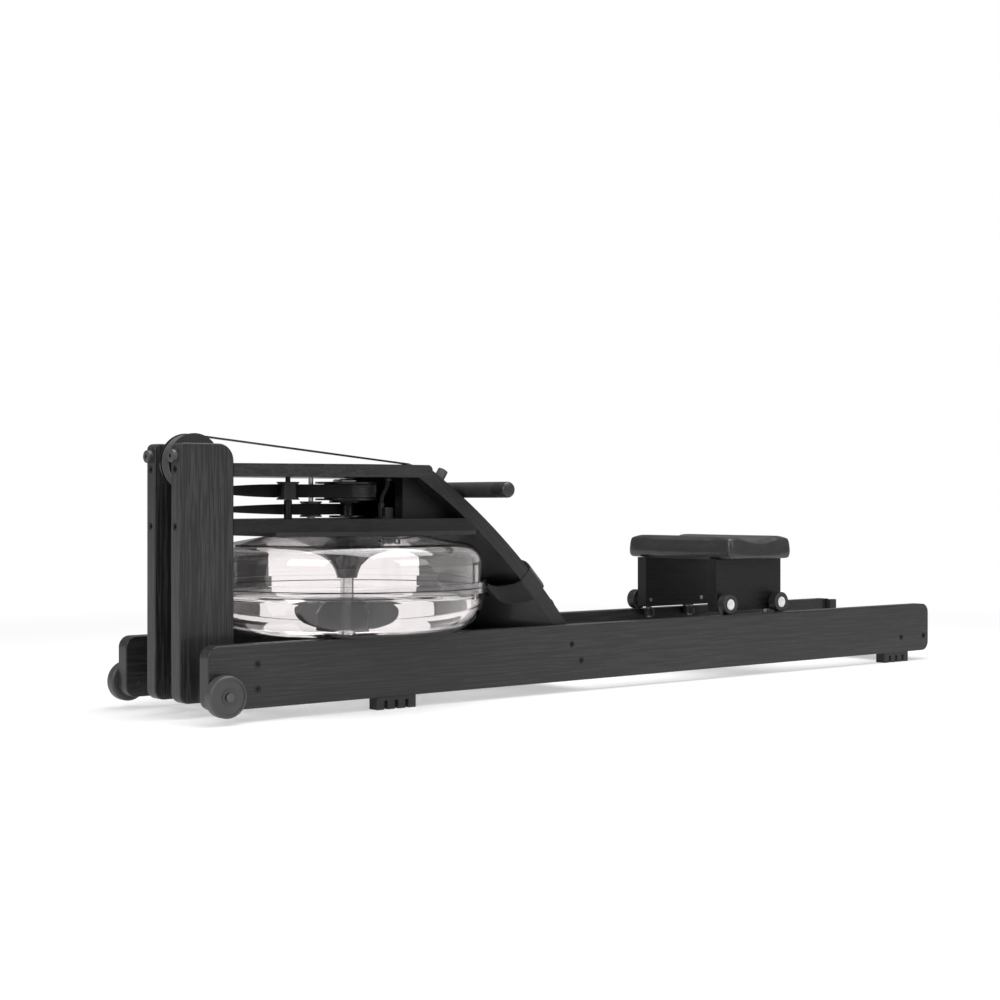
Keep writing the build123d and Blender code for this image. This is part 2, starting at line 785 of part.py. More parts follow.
# Axles across the uprights, the cord's pin below them and the transport wheels' axle bolts
with BuildPart() as axles:
    for x, z, radius in axle_places:
        with BuildSketch(side_plane(0)):
            with Locations((x, z)):
                Circle(radius)
        extrude(amount=upright_gap / 2 + axle_bite, both=True)
    for side in sides.values():
        tip = rail_outer + roller_washer + roller_width + face_gap
        with BuildSketch(side_plane(side * (tip + roller_head_height))):
            with Locations(roller_place):
                Circle(roller_head)
        extrude(amount=side * roller_head_height)
        with BuildSketch(side_plane(side * tip)):
            with Locations(roller_place):
                Circle(roller_axle)
        extrude(amount=side * (tip - rail_inner))
        with BuildSketch(side_plane(side * (rail_outer + roller_washer - face_gap))):
            with Locations(roller_place):
                Circle(roller_head)
        extrude(amount=side * (roller_washer - face_gap))
save(axles, "axle_bolts")

# Posts between the decks and the idlers that turn the straps' runs towards the pulleys
with BuildPart() as posts:
    with BuildSketch(Plane.XY.offset(deck_floor - deck_thick / 2)):
        with Locations(*post_places):
            Circle(post_radius)
    extrude(amount=deck_space + deck_thick)
    for place, z, width in ((post_places[0], drive_z, strap_width), (post_places[1], recoil_z, recoil_width)):
        low = z - width / 2 - groove_gap - pulley_flange - face_gap
        with BuildSketch(Plane.XY.offset(deck_floor)):
            with Locations(place):
                Circle(post_radius + post_collar)
        extrude(amount=low - deck_floor)
save(posts, "idler_posts")


def make_idler(place, z, width):
    """Flanged idler that runs on its post about Z."""
    rim = width / 2 + groove_gap
    edge = rim + pulley_flange
    bore = post_radius + running_fit
    lip = idler_radius + pulley_lip / 2
    with BuildPart() as idler:
        with BuildSketch(Plane(origin=(*place, z), x_dir=(1, 0, 0), z_dir=(0, -1, 0))):
            with BuildLine():
                Polyline((bore, -edge), (lip, -edge), (lip, -rim), (idler_radius, -rim), (idler_radius, rim),
                         (lip, rim), (lip, edge), (bore, edge), close=True)
            make_face()
        revolve(axis=Axis((*place, z), (0, 0, 1)))
    return idler


save(make_idler(post_places[0], drive_z, strap_width), "drive_idler")
save(make_idler(post_places[1], recoil_z, recoil_width), "recoil_idler")


def belt(start, start_radius, end, end_radius):
    """Points where a strap leaves one round and meets another: a radius is positive on the strap's left."""
    apart = hypot(end[0] - start[0], end[1] - start[1])
    lean = atan2(end[1] - start[1], end[0] - start[0]) - asin((start_radius - end_radius) / apart)
    left = (-sin(lean), cos(lean))
    return [(c[0] + r * left[0], c[1] + r * left[1]) for c, r in ((start, start_radius), (end, end_radius))]


def twisted_run(start_x, start_z, end_x, end_z, width):
    """Strap that lies flat at the pulley and turns a quarter to stand on edge at the idler."""
    sections = []
    for step in range(twist_steps):
        share = step / (twist_steps - 1)
        turn = radians(90 * share)
        place = (start_x + (end_x - start_x) * share, 0, start_z + (end_z - start_z) * share)
        with BuildSketch(Plane(origin=place, x_dir=(0, cos(turn), sin(turn)), z_dir=(1, 0, 0))) as section:
            Rectangle(width, strap_thick)
        sections.append(section.sketch.face())
    loft(sections, ruled=True)


def straight_run(place, radius, side, z, width):
    """Strap on edge, round the back of its idler at place and on to the drum."""
    round_idler = side * idler_y
    leave, land = belt(place, round_idler, (tank_x, 0), -side * (radius + face_gap + strap_thick / 2))
    wrap = (place[0] + (leave[0] - place[0]) / 2, leave[1] / 2)
    reach = idler_y / hypot(wrap[0] - place[0], wrap[1] - place[1])
    middle = [p + (w - p) * reach for p, w in zip(place, wrap)]
    with BuildSketch(Plane.XY.offset(z - width / 2)) as run:
        with BuildLine():
            ThreePointArc((place[0], 0), tuple(middle), leave)
            Line(leave, land)
        trace(line_width=strap_thick)
    extrude(run.sketch, amount=width)


rest_place = on_foot(rest_angle, rest_lift)
rest_reach = rest_radius + face_gap + strap_thick / 2
strap_off, rest_on = belt((upright_mid, top_pulley_z), top_pulley_strap, rest_place, rest_reach)

# Drive strap: round the front of the top pulley, back between the decks to the drum
with BuildPart() as drive_strap:
    with BuildSketch(side_plane(0)):
        with Locations((upright_mid, top_pulley_z)):
            Circle(top_pulley_strap + strap_thick / 2)
            Circle(top_pulley_strap - strap_thick / 2, mode=Mode.SUBTRACT)
        far = 4 * top_pulley_strap
        rise = (strap_off[0] - upright_mid, strap_off[1] - top_pulley_z)
        Polygon((upright_mid, top_pulley_z), (upright_mid + 4 * rise[0], top_pulley_z + 4 * rise[1]),
                (upright_mid - far, top_pulley_z + far), (upright_mid - far, top_pulley_z - far),
                (upright_mid, top_pulley_z - far), align=None, mode=Mode.INTERSECT)
    extrude(amount=strap_width / 2, both=True)
    twisted_run(upright_mid - strap_lap, drive_z, post_places[0][0], drive_z, strap_width)
    straight_run(post_places[0], winding_radius, 1, drive_z, strap_width)
save(drive_strap, "drive_strap")

# Recoil strap: from the spool to the lower pulley, over its front and down to the stretch cord
with BuildPart() as recoil_strap:
    drop_x = upright_mid - recoil_strap_radius
    with BuildSketch(side_plane(0)):
        with Locations((upright_mid, recoil_pulley_z)):
            Circle(recoil_strap_radius + strap_thick / 2)
            Circle(recoil_strap_radius - strap_thick / 2, mode=Mode.SUBTRACT)
        with Locations((upright_mid - recoil_strap_radius, recoil_pulley_z + recoil_strap_radius)):
            Rectangle(2 * recoil_strap_radius, 2 * recoil_strap_radius, mode=Mode.INTERSECT)
        with Locations((drop_x, recoil_pulley_z - strap_drop / 2)):
            Rectangle(strap_thick, strap_drop)
    extrude(amount=recoil_width / 2, both=True)
    twisted_run(upright_mid - strap_lap, recoil_z, post_places[1][0], recoil_z, recoil_width)
    straight_run(post_places[1], spool_core, -1, recoil_z, recoil_width)
save(recoil_strap, "recoil_strap")

with BuildPart() as bungee:
    crimp_top = recoil_pulley_z - strap_drop
    pin_top = bungee_pin_z + post_radius
    with BuildSketch(Plane.XY.offset(pin_top)):
        with Locations((drop_x, 0)):
            Circle(bungee_radius)
    extrude(amount=crimp_top - pin_top)
    with BuildSketch(Plane.XY.offset(crimp_top - crimp_size)):
        with Locations((drop_x, 0)):
            Rectangle(crimp_size, recoil_width)
    extrude(amount=crimp_size)
save(bungee, "recoil_bungee")

# Speed sensor beside the spool, its lead and the gland under the top deck
sensor_spot = (tank_x + sensor_place[0], sensor_place[1])
pickup_spot = (tank_x + pickup_place[0], pickup_place[1])
with BuildPart() as sensor:
    for spot, size in ((sensor_spot, sensor_size), (pickup_spot, pickup_size)):
        with BuildSketch(Plane.XY.offset(deck_floor)):
            with Locations(spot):
                RectangleRounded(size[0], size[1], edge_round)
        extrude(amount=size[2])
    with BuildSketch(Plane.XY.offset(deck_floor)):
        with Locations(tuple((a + b) / 2 for a, b in zip(sensor_spot, pickup_spot))):
            Rectangle(sensor_size[0] + pickup_size[0], sensor_size[1] + pickup_size[1])
    extrude(amount=sensor_plate)
save(sensor, "speed_sensor")

with BuildPart() as lead:
    lead_points = [(*pickup_spot, deck_floor + pickup_size[2]),
                   (*pickup_spot, deck_floor + pickup_size[2] + lead_rise),
                   (*gland_spot, deck_roof - lead_rise), (*gland_spot, deck_roof + deck_thick / 2)]
    with BuildLine() as lead_path:
        FilletPolyline(*lead_points, radius=lead_bend)
    with BuildSketch(Plane(origin=lead_points[0], z_dir=(0, 0, 1))):
        Circle(lead_radius)
    sweep(path=lead_path.line)
    with BuildSketch(Plane.XY.offset(deck_roof - gland_height)):
        with Locations(gland_spot):
            Circle(gland_radius)
    extrude(amount=gland_height)
save(lead, "sensor_lead")

# Handle: a straight grip with rounded ends and the saddle that the strap is sewn to
handle_x = deck_end + handle_past
grip_half = handle_length / 2 - cap_length
with BuildPart() as grip:
    with BuildSketch(side_plane(0)):
        with Locations((handle_x, handle_z)):
            Circle(handle_radius)
    extrude(amount=grip_half, both=True)
save(grip, "handle_grip")

with BuildPart() as caps:
    for side in sides.values():
        with BuildSketch(side_plane(side * grip_half)):
            with Locations((handle_x, handle_z)):
                Circle(handle_radius)
        extrude(amount=-side * cap_length)
    ends = caps.edges().filter_by(lambda e: abs(abs(e.center().Y) - handle_length / 2) < face_gap)
    fillet(ends, radius=cap_round)
save(caps, "handle_caps")

handle_angle = degrees(atan2(handle_x - foot_x, handle_z - foot_z))
handle_lift = hypot(handle_x - foot_x, handle_z - foot_z) - foot_radius
saddle_radius = handle_radius + clevis_wall
with BuildPart() as clevis:
    with BuildSketch(side_plane(0)):
        foot_band(face_gap, handle_lift, handle_angle - clevis_spread, handle_angle + clevis_spread)
    extrude(amount=clevis_width / 2, both=True)
    with BuildSketch(side_plane(0)):
        with Locations((handle_x, handle_z)):
            Circle(saddle_radius)
    extrude(amount=clevis_width / 2, both=True)
    drill([(handle_x, handle_z)], handle_radius + running_fit)
save(clevis, "handle_clevis")

# Strap to the handle: off the top of the pulley, over the rest and down to the saddle
with BuildPart() as handle_strap:
    saddle_reach = saddle_radius + strap_thick / 2
    rest_off, saddle_on = belt(rest_place, rest_reach, (handle_x, handle_z), saddle_reach)
    rest_turn = [(a + b) / 2 - c for a, b, c in zip(rest_on, rest_off, rest_place)]
    stretch = rest_reach / hypot(*rest_turn)
    with BuildSketch(side_plane(0)):
        with BuildLine():
            Line(strap_off, rest_on)
            ThreePointArc(rest_on, tuple(c + t * stretch for c, t in zip(rest_place, rest_turn)), rest_off)
            Line(rest_off, saddle_on)
        trace(line_width=strap_thick)
    extrude(amount=strap_width / 2, both=True)
save(handle_strap, "handle_strap")

# Pegs that the handle can be hooked behind, and between them the rounded rest that its strap runs over
with BuildPart() as pegs:
    with BuildSketch(foot_plane(rest_angle, 0)):
        Rectangle(2 * rest_radius, rest_width)
    extrude(amount=rest_lift)
    with BuildSketch(side_plane(0)):
        with Locations(rest_place):
            Circle(rest_radius)
    extrude(amount=rest_width / 2, both=True)
    for side in sides.values():
        with BuildSketch(foot_plane(peg_angle, side * peg_y)):
            Circle(peg_radius)
        extrude(amount=peg_height)
        with BuildSketch(foot_plane(peg_angle, side * peg_y)):
            Circle(peg_radius / 2)
        extrude(amount=-foot_thick / 2)
save(pegs, "handle_pegs")

# Foot straps: closed loops round the board's outer edges, arched over the foot and slack below
with BuildPart() as foot_straps:
    half = foot_strap_width / 2
    edge = rail_inner + face_gap + foot_strap_thick
    for side in sides.values():
        slope = foot_plane(strap_angle, 0)
        across = Plane(origin=slope.origin, x_dir=(0, side, 0), z_dir=slope.x_dir * side)
        with BuildSketch(across):
            with BuildLine():
                start = strap_slot_y - foot_strap_thick / 2
                low = -foot_thick - 2 * foot_strap_thick
                high = foot_strap_thick
                Line((start, high), (start, low))
                ThreePointArc((start, low), ((start + edge) / 2, low - foot_strap_sag), (edge, low))
                Line((edge, low), (edge, high))
                ThreePointArc((edge, high), ((start + edge) / 2, high + foot_strap_rise), (start, high))
            make_face()
            offset(amount=-foot_strap_thick, mode=Mode.SUBTRACT)
        extrude(amount=half, both=True)
save(foot_straps, "foot_straps")

# Heel rests: plates with a curved heel wall that slide on the footboard
for name, side in sides.items():
    with BuildPart() as heel:
        base = foot_plane(heel_angle, side * heel_y, face_gap)
        with BuildSketch(base):
            RectangleRounded(heel_length, heel_width, heel_corner)
            with Locations((-heel_length / 4, 0)):
                Rectangle(heel_length / 2, heel_width)
        extrude(amount=heel_plate)
        with BuildSketch(base):
            RectangleRounded(heel_length, heel_width, heel_corner)
            offset(amount=-heel_wall, mode=Mode.SUBTRACT)
            with Locations((heel_length / 2, 0)):
                Rectangle(2 * heel_reach, heel_width, mode=Mode.INTERSECT)
        extrude(amount=heel_rise)
    save(heel, f"heel_rest_{name}")

# Seat cushion: drawn in at its foot, rounded over to a crown, with a hollow across it
with BuildPart() as cushion:
    for height, inset in seat_form:
        with BuildSketch(Plane.XY.offset(seat_low + height * seat_thick)):
            with Locations((seat_x, 0)):
                RectangleRounded(seat_length - 2 * inset, seat_width - 2 * inset, seat_corner)
    loft()
    with BuildSketch(side_plane(0)):
        with Locations((seat_x, seat_low + seat_thick - seat_dip + seat_dip_radius)):
            Circle(seat_dip_radius)
    extrude(amount=seat_width, both=True, mode=Mode.SUBTRACT)
save(cushion, "seat_pad")

with BuildPart() as seat_base:
    with BuildSketch(Plane.XY.offset(side_high)):
        with Locations((seat_x, 0)):
            base_width = 2 * (side_outer - seat_base_inset)
            RectangleRounded(seat_length - 2 * seat_base_inset, base_width, seat_corner)
    extrude(amount=seat_base_thick)
save(seat_base, "seat_base")

wheel_spots = [(seat_x + wheel_shift + s * wheel_pitch / 2, wheel_z) for s in (-1, 1)]
guide_y = rail_inner - face_gap - guide_radius
guide_spots = [(seat_x + guide_shift + s * guide_pitch / 2, side * guide_y)
               for s in (-1, 1) for side in sides.values()]

# Seat sides: two upright boards that carry the cushion, drilled for the axles and guide pins
with BuildPart() as seat_sides:
    for side in sides.values():
        with BuildSketch(side_plane(side * (side_outer - side_thick / 2))):
            with Locations((seat_x, (side_low + side_high) / 2)):
                Rectangle(side_length, side_height)
        extrude(amount=side_thick / 2, both=True)
    fillet(seat_sides.edges().filter_by(Axis.Z), radius=edge_round)
    drill(wheel_spots, wheel_axle + hole_clearance)
    with BuildSketch(Plane.XY.offset(side_low)):
        with Locations(*guide_spots):
            Circle(guide_pin + hole_clearance)
    extrude(amount=guide_pin_grip, mode=Mode.SUBTRACT)
save(seat_sides, "seat_sides")

# Axles of the seat wheels and pins of the guide rollers
wheel_inner = side_outer + wheel_gap
wheel_outer = wheel_inner + wheel_width
guide_top = rail_top - guide_drop
with BuildPart() as seat_axles:
    for side in sides.values():
        with BuildSketch(side_plane(side * (wheel_outer - wheel_tyre))):
            with Locations(*wheel_spots):
                Circle(wheel_axle)
        extrude(amount=side * (wheel_outer - wheel_tyre - side_outer + side_thick))
        with BuildSketch(side_plane(side * (wheel_inner - face_gap))):
            with Locations(*wheel_spots):
                Circle(wheel_axle * 2)
        extrude(amount=side * (wheel_gap - face_gap))
    pin_low = guide_top - guide_height - face_gap
    with BuildSketch(Plane.XY.offset(pin_low)):
        with Locations(*guide_spots):
            Circle(guide_pin)
    extrude(amount=side_low - pin_low + guide_pin_grip)
    collar_low = guide_top + face_gap
    for low, tall in ((collar_low, side_low - collar_low), (pin_low - guide_pin, guide_pin)):
        with BuildSketch(Plane.XY.offset(low)):
            with Locations(*guide_spots):
                Circle(guide_pin * 2)
        extrude(amount=tall)
save(seat_axles, "seat_axles")

# Seat wheels: rounded tyres with a recessed hub face, on the rails' inner halves
for end, (x, z) in zip(("front", "rear"), wheel_spots):
    for name, side in sides.items():
        with BuildPart() as wheel:
            with BuildSketch(side_plane(side * wheel_outer)):
                with Locations((x, z)):
                    Circle(wheel_radius)
            extrude(amount=side * wheel_width)
            fillet(wheel.edges(), radius=edge_round)
            with BuildSketch(side_plane(side * wheel_outer)):
                with Locations((x, z)):
                    Circle(wheel_hub)
            extrude(amount=side * wheel_dish, mode=Mode.SUBTRACT)
            with BuildSketch(side_plane(side * (wheel_outer - wheel_tyre + face_gap))):
                with Locations((x, z)):
                    Circle(wheel_axle + running_fit)
            extrude(amount=side * wheel_width, mode=Mode.SUBTRACT)
        save(wheel, f"seat_wheel_{end}_{name}")

# Guide rollers: low wheels that run along the rails' inner faces
for end, shift in (("front", -1), ("rear", 1)):
    for name, side in sides.items():
        with BuildPart() as guide:
            with BuildSketch(Plane.XY.offset(guide_top)):
                with Locations((seat_x + guide_shift + shift * guide_pitch / 2, side * guide_y)):
                    Circle(guide_radius)
                    Circle(guide_pin + running_fit, mode=Mode.SUBTRACT)
            extrude(amount=-guide_height)
        save(guide, f"guide_roller_{end}_{name}")

# Stops on the rails' inner faces that end the seat's travel
with BuildPart() as stops:
    for side in sides.values():
        with BuildSketch(Plane.XY.offset(rail_top - stop_drop)):
            with Locations((rear_x - stop_in, side * (rail_inner - stop_size[1] / 2))):
                RectangleRounded(stop_size[0], stop_size[1], edge_round)
        extrude(amount=-stop_size[2])
save(stops, "seat_stops")

# Transport wheels outside the rails' front ends, with a shallow dish round the hub
for name, side in sides.items():
    with BuildPart() as roller:
        near = rail_outer + roller_washer
        with BuildSketch(side_plane(side * (near + roller_width))):
            with Locations(roller_place):
                Circle(roller_radius)
        extrude(amount=side * roller_width)
        fillet(roller.edges(), radius=2 * edge_round)
        with BuildSketch(side_plane(side * (near + roller_width))):
            with Locations(roller_place):
                Circle(roller_radius - roller_rim)
                Circle(roller_head + roller_rim, mode=Mode.SUBTRACT)
        extrude(amount=side * roller_dish, mode=Mode.SUBTRACT)
        drill([roller_place], roller_axle + running_fit, depth=2 * rail_outer)
    save(roller, f"transport_wheel_{name}")
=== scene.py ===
import math
import bmesh
import bpy
import numpy as np
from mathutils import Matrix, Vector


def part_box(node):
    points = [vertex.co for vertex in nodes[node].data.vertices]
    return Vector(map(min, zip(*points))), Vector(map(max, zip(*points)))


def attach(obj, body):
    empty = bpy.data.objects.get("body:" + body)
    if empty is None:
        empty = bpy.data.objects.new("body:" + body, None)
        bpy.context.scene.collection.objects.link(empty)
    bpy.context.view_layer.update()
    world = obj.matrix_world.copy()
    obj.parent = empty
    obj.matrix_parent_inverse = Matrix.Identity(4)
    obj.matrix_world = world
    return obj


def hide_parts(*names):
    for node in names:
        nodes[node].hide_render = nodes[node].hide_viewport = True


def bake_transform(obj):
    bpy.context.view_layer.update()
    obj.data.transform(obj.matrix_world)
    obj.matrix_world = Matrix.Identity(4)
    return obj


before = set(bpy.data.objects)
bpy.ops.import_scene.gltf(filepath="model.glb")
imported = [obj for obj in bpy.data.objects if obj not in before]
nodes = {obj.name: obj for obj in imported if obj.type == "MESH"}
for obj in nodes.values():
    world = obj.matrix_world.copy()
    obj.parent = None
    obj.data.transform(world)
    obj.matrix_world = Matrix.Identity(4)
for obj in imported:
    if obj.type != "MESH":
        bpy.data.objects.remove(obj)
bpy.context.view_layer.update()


def centre(node):
    """The middle of a node's box."""
    low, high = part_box(node)
    return (np.array(low) + np.array(high)) / 2


class Value:
    """One shader socket. Arithmetic on it adds Math nodes, so a pattern reads as a formula."""

    def __init__(self, paint, socket):
        self.paint = paint
        self.socket = socket

    def _math(self, operation, first, second=0.0):
        return self.paint.node("ShaderNodeMath", {"operation": operation}, {0: first, 1: second})

    def __add__(self, other):
        return self._math("ADD", self, other)

    def __sub__(self, other):
        return self._math("SUBTRACT", self, other)

    def __rsub__(self, other):
        return self._math("SUBTRACT", other, self)

    def __mul__(self, other):
        return self._math("MULTIPLY", self, other)

    def __pow__(self, other):
        return self._math("POWER", self, other)

    __radd__ = __add__
    __rmul__ = __mul__

    def sine(self):
        return self._math("SINE", self)

    def above(self, edge, soft):
        """0 below edge, 1 above it, over a soft band."""
        return self.paint.node("ShaderNodeMapRange", {"interpolation_type": "SMOOTHSTEP"},
                               {0: self, 1: edge - soft, 2: edge + soft, 3: 0.0, 4: 1.0})


class Tree:
    """A node tree under construction."""

    def __init__(self, tree):
        self.tree = tree

    def node(self, kind, settings=None, sockets=None, out=0):
        """Adds a node: its settings first, then the values or links of its sockets."""
        made = self.tree.nodes.new(kind)
        for key, value in (settings or {}).items():
            if key == "stops":
                for stop, (place, colour) in zip(ramp_stops(made, len(value)), value):
                    stop.position = place
                    stop.color = (*colour, 1)
            else:
                setattr(made, key, value)
        for key, value in (sockets or {}).items():
            if isinstance(value, Value):
                self.tree.links.new(value.socket, made.inputs[key])
            else:
                made.inputs[key].default_value = value
        return Value(self, made.outputs[out])

    def place(self, scale=(1, 1, 1), turn=0, uv=False):
        """Object coordinates, or the piece's own UV map, turned about Y by degrees and then scaled."""
        spot = self.node("ShaderNodeTexCoord", out="UV" if uv else "Object")
        if turn:
            spot = self.node("ShaderNodeMapping", None, {0: spot, "Rotation": (0, math.radians(turn), 0)})
        return self.node("ShaderNodeMapping", None, {0: spot, "Scale": scale})

    def noise(self, place, scale, detail=3.0, rough=0.5):
        """Cloudy noise between 0 and 1 at a place."""
        return self.node("ShaderNodeTexNoise", None,
                         {"Vector": place, "Scale": scale, "Detail": detail, "Roughness": rough})

    def split(self, place, axis):
        """One coordinate of a place."""
        return self.node("ShaderNodeSeparateXYZ", None, {0: place}, out=axis)

    def colours(self, factor, stops):
        """A colour picked from stops, each a share and a colour."""
        return self.node("ShaderNodeValToRGB", {"stops": stops}, {0: factor})

    def rays(self, *kinds):
        """1 for the named kinds of ray and 0 for others."""
        found = [self.node("ShaderNodeLightPath", out=f"Is {kind} Ray") for kind in kinds]
        return sum(found[1:], found[0])

    def show(self, shader):
        """Makes this shader the tree's output."""
        end = next(n for n in self.tree.nodes if n.type.startswith("OUTPUT"))
        self.tree.links.new(shader.socket, end.inputs[0])


class Paint(Tree):
    """A material under construction, with its Principled shader."""

    def __init__(self, name, **sockets):
        self.material = bpy.data.materials.new(name)
        self.material.use_nodes = True
        super().__init__(self.material.node_tree)
        self.shader = self.tree.nodes["Principled BSDF"]
        for socket, value in sockets.items():
            self.shader.inputs[socket.replace("_", " ")].default_value = value

    def feed(self, **sockets):
        """Links patterns to the shader's sockets."""
        for socket, value in sockets.items():
            self.tree.links.new(value.socket, self.shader.inputs[socket.replace("_", " ")])
        return self

    def bump(self, height, distance, strength):
        """Raises the surface by a pattern, over a distance in metres."""
        self.feed(Normal=self.node("ShaderNodeBump", None,
                                   {"Height": height, "Distance": distance, "Strength": strength}))
        return self


def ramp_stops(made, count):
    """The colour stops of a ramp node, made up to count."""
    stops = made.color_ramp.elements
    while len(stops) < count:
        stops.new(0.5)
    return stops


def grey(level):
    """A grey as a colour."""
    return (level, level, level)


def black_ash(name, turn=0, shade=1.0, contrast=0.6, gloss=1.0):
    """Stained open-grained ash. Growth bands are noise stretched along the board; pores are a much finer, longer
    noise cut to thin dashes, sunk below the lacquer. The grain runs along X after the turn.
    A shade below one darkens the whole colour, a painted shade for boards that lie in shadow; gloss scales the coat."""
    paint = Paint(name, Specular_IOR_Level=0.3, Coat_Weight=0.25 * gloss, Coat_Roughness=0.16)
    bands = paint.noise(paint.place((0.6, 20, 20), turn), 5.0, 3.0, 0.5)
    rings = ((bands * 30.0).sine() * 0.5 + 0.5) ** 1.6
    fibre = paint.noise(paint.place((6, 480, 480), turn), 3.0, 3.0, 0.6)
    pores = paint.noise(paint.place((16, 800, 800), turn), 2.0, 2.0, 0.5).above(0.58, 0.07)
    cloud = paint.noise(paint.place((2, 2, 2)), 3.0, 2.0)
    mixed = rings * 0.26 + fibre * 0.42 + cloud * 0.18 + (1 - pores * rings) * 0.14
    tone = 0.5 + (mixed - 0.5) * contrast
    paint.feed(Base_Color=paint.colours(tone, [(0.26, grey(0.0055 * shade)), (0.5, grey(0.014 * shade)),
                                               (0.78, grey(0.036 * shade))]),
               Roughness=0.36 + fibre * 0.16 + rings * 0.06)
    return paint.bump(fibre * 0.35 + rings * 0.2 - pores * rings * 0.8, 0.0003, 0.6)


def moulded(name, colour, rough, spread=0.25, grain=900.0, depth=0.00006):
    """Moulded plastic or rubber: a fine spark texture with slow drifts of tone and gloss."""
    paint = Paint(name)
    spark = paint.noise(paint.place(), grain, 2.0)
    drift = paint.noise(paint.place(), 14.0, 3.0)
    dark = tuple(c * (1 - spread) for c in colour)
    pale = tuple(c * (1 + spread) for c in colour)
    paint.feed(Base_Color=paint.colours(drift * 0.65 + spark * 0.35, [(0.3, dark), (0.7, pale)]),
               Roughness=rough + drift * 0.12 + spark * 0.06 - 0.09)
    return paint.bump(spark, depth, 0.8)


def turned_metal(name, colour, rough, rings=2600.0, axis="Z"):
    """Turned metal: fine rings along the axis over a slow drift of gloss."""
    paint = Paint(name, Metallic=1.0)
    along = paint.split(paint.place(), axis)
    lines = (along * rings).sine() * 0.5 + 0.5
    drift = paint.noise(paint.place(), 40.0, 3.0)
    paint.feed(Base_Color=paint.colours(drift, [(0.3, tuple(c * 0.82 for c in colour)), (0.7, colour)]),
               Roughness=rough + lines * 0.06 + drift * 0.1)
    return paint.bump(lines, 0.00002, 0.6)


def webbing(name, colour, pitch=1400.0, coarse=1.0, rough=0.62):
    """Woven strap on the piece's UV map, in metres: u runs along the strap and v across it. Two crossed sine waves
    make the weave, with a fine fuzz over it."""
    paint = Paint(name, Specular_IOR_Level=0.3, Sheen_Weight=0.25, Sheen_Roughness=0.5)
    flat = paint.place(uv=True)
    along, across = paint.split(flat, "X"), paint.split(flat, "Y")
    weft = ((along * (pitch * coarse) + (across * (pitch * 0.9)).sine() * 1.2).sine()) * 0.5 + 0.5
    warp = ((across * (pitch * 1.3)).sine()) * 0.5 + 0.5
    fuzz = paint.noise(paint.place(), 2500.0, 2.0)
    tone = weft * warp * 0.6 + fuzz * 0.4
    paint.feed(Base_Color=paint.colours(tone, [(0.1, tuple(c * 0.45 for c in colour)),
                                               (0.8, tuple(c * 1.35 for c in colour))]),
               Roughness=rough + fuzz * 0.2)
    return paint.bump(weft * warp * 0.8 + fuzz * 0.2, 0.0003, 0.7)


def cushion_cover():
    """Coated cover: a fine pebble from a cell pattern, with broad soft creases."""
    paint = Paint("cushion_cover", Specular_IOR_Level=0.4, Coat_Weight=0.35, Coat_Roughness=0.2)
    pebble = paint.node("ShaderNodeTexVoronoi", {"feature": "SMOOTH_F1"},
                        {"Vector": paint.place(), "Scale": 620.0, "Smoothness": 0.6})
    creases = paint.noise(paint.place(), 22.0, 3.0)
    paint.feed(Base_Color=paint.colours(pebble * 0.5 + creases * 0.5, [(0.2, grey(0.010)), (0.8, grey(0.022))]),
               Roughness=0.34 + creases * 0.12 + pebble * 0.06)
    return paint.bump(pebble * 0.5 + creases * 0.35, 0.00022, 0.7)


def posts():
    """The idlers' posts: the front one dark and the rear one bright, told apart by their place along X."""
    paint = Paint("idler_posts", Metallic=1.0)
    rear = paint.split(paint.place(), "X").above(float(centre("idler_posts")[0]), 0.01)
    drift = paint.noise(paint.place(), 60.0, 2.0)
    paint.feed(Base_Color=paint.colours(rear, [(0.0, grey(0.03)), (1.0, grey(0.7))]),
               Roughness=0.34 - rear * 0.2 + drift * 0.08)
    return paint


def ridged_gloss():
    """The drum's moulding: gloss black with level ridges round it."""
    paint = Paint("ridged_gloss", Specular_IOR_Level=0.55)
    ridge = (paint.split(paint.place(), "Z") * 1570.0).sine() * 0.5 + 0.5
    drift = paint.noise(paint.place(), 25.0, 3.0)
    paint.feed(Base_Color=paint.colours(drift, [(0.3, grey(0.008)), (0.7, grey(0.014))]),
               Roughness=0.16 + drift * 0.12)
    return paint.bump(ridge, 0.0007, 0.7)


def clear_shell(name, colour, rough=0.015):
    """Clear moulded plastic with a faint tint and slow waves in its surface."""
    paint = Paint(name, Base_Color=(*colour, 1), Roughness=rough, IOR=1.46, Transmission_Weight=1.0,
                  Specular_IOR_Level=0.25)
    wave = paint.noise(paint.place(), 5.0, 1.0)
    return paint.bump(wave, 0.0003, 0.1)


def still_water():
    """Water: clear, with the faintest ripple on it."""
    paint = Paint("still_water", Base_Color=(0.965, 0.97, 0.97, 1), Roughness=0.0, IOR=1.333,
                  Transmission_Weight=1.0)
    return paint.bump(paint.noise(paint.place(), 8.0, 1.0), 0.0002, 0.1)


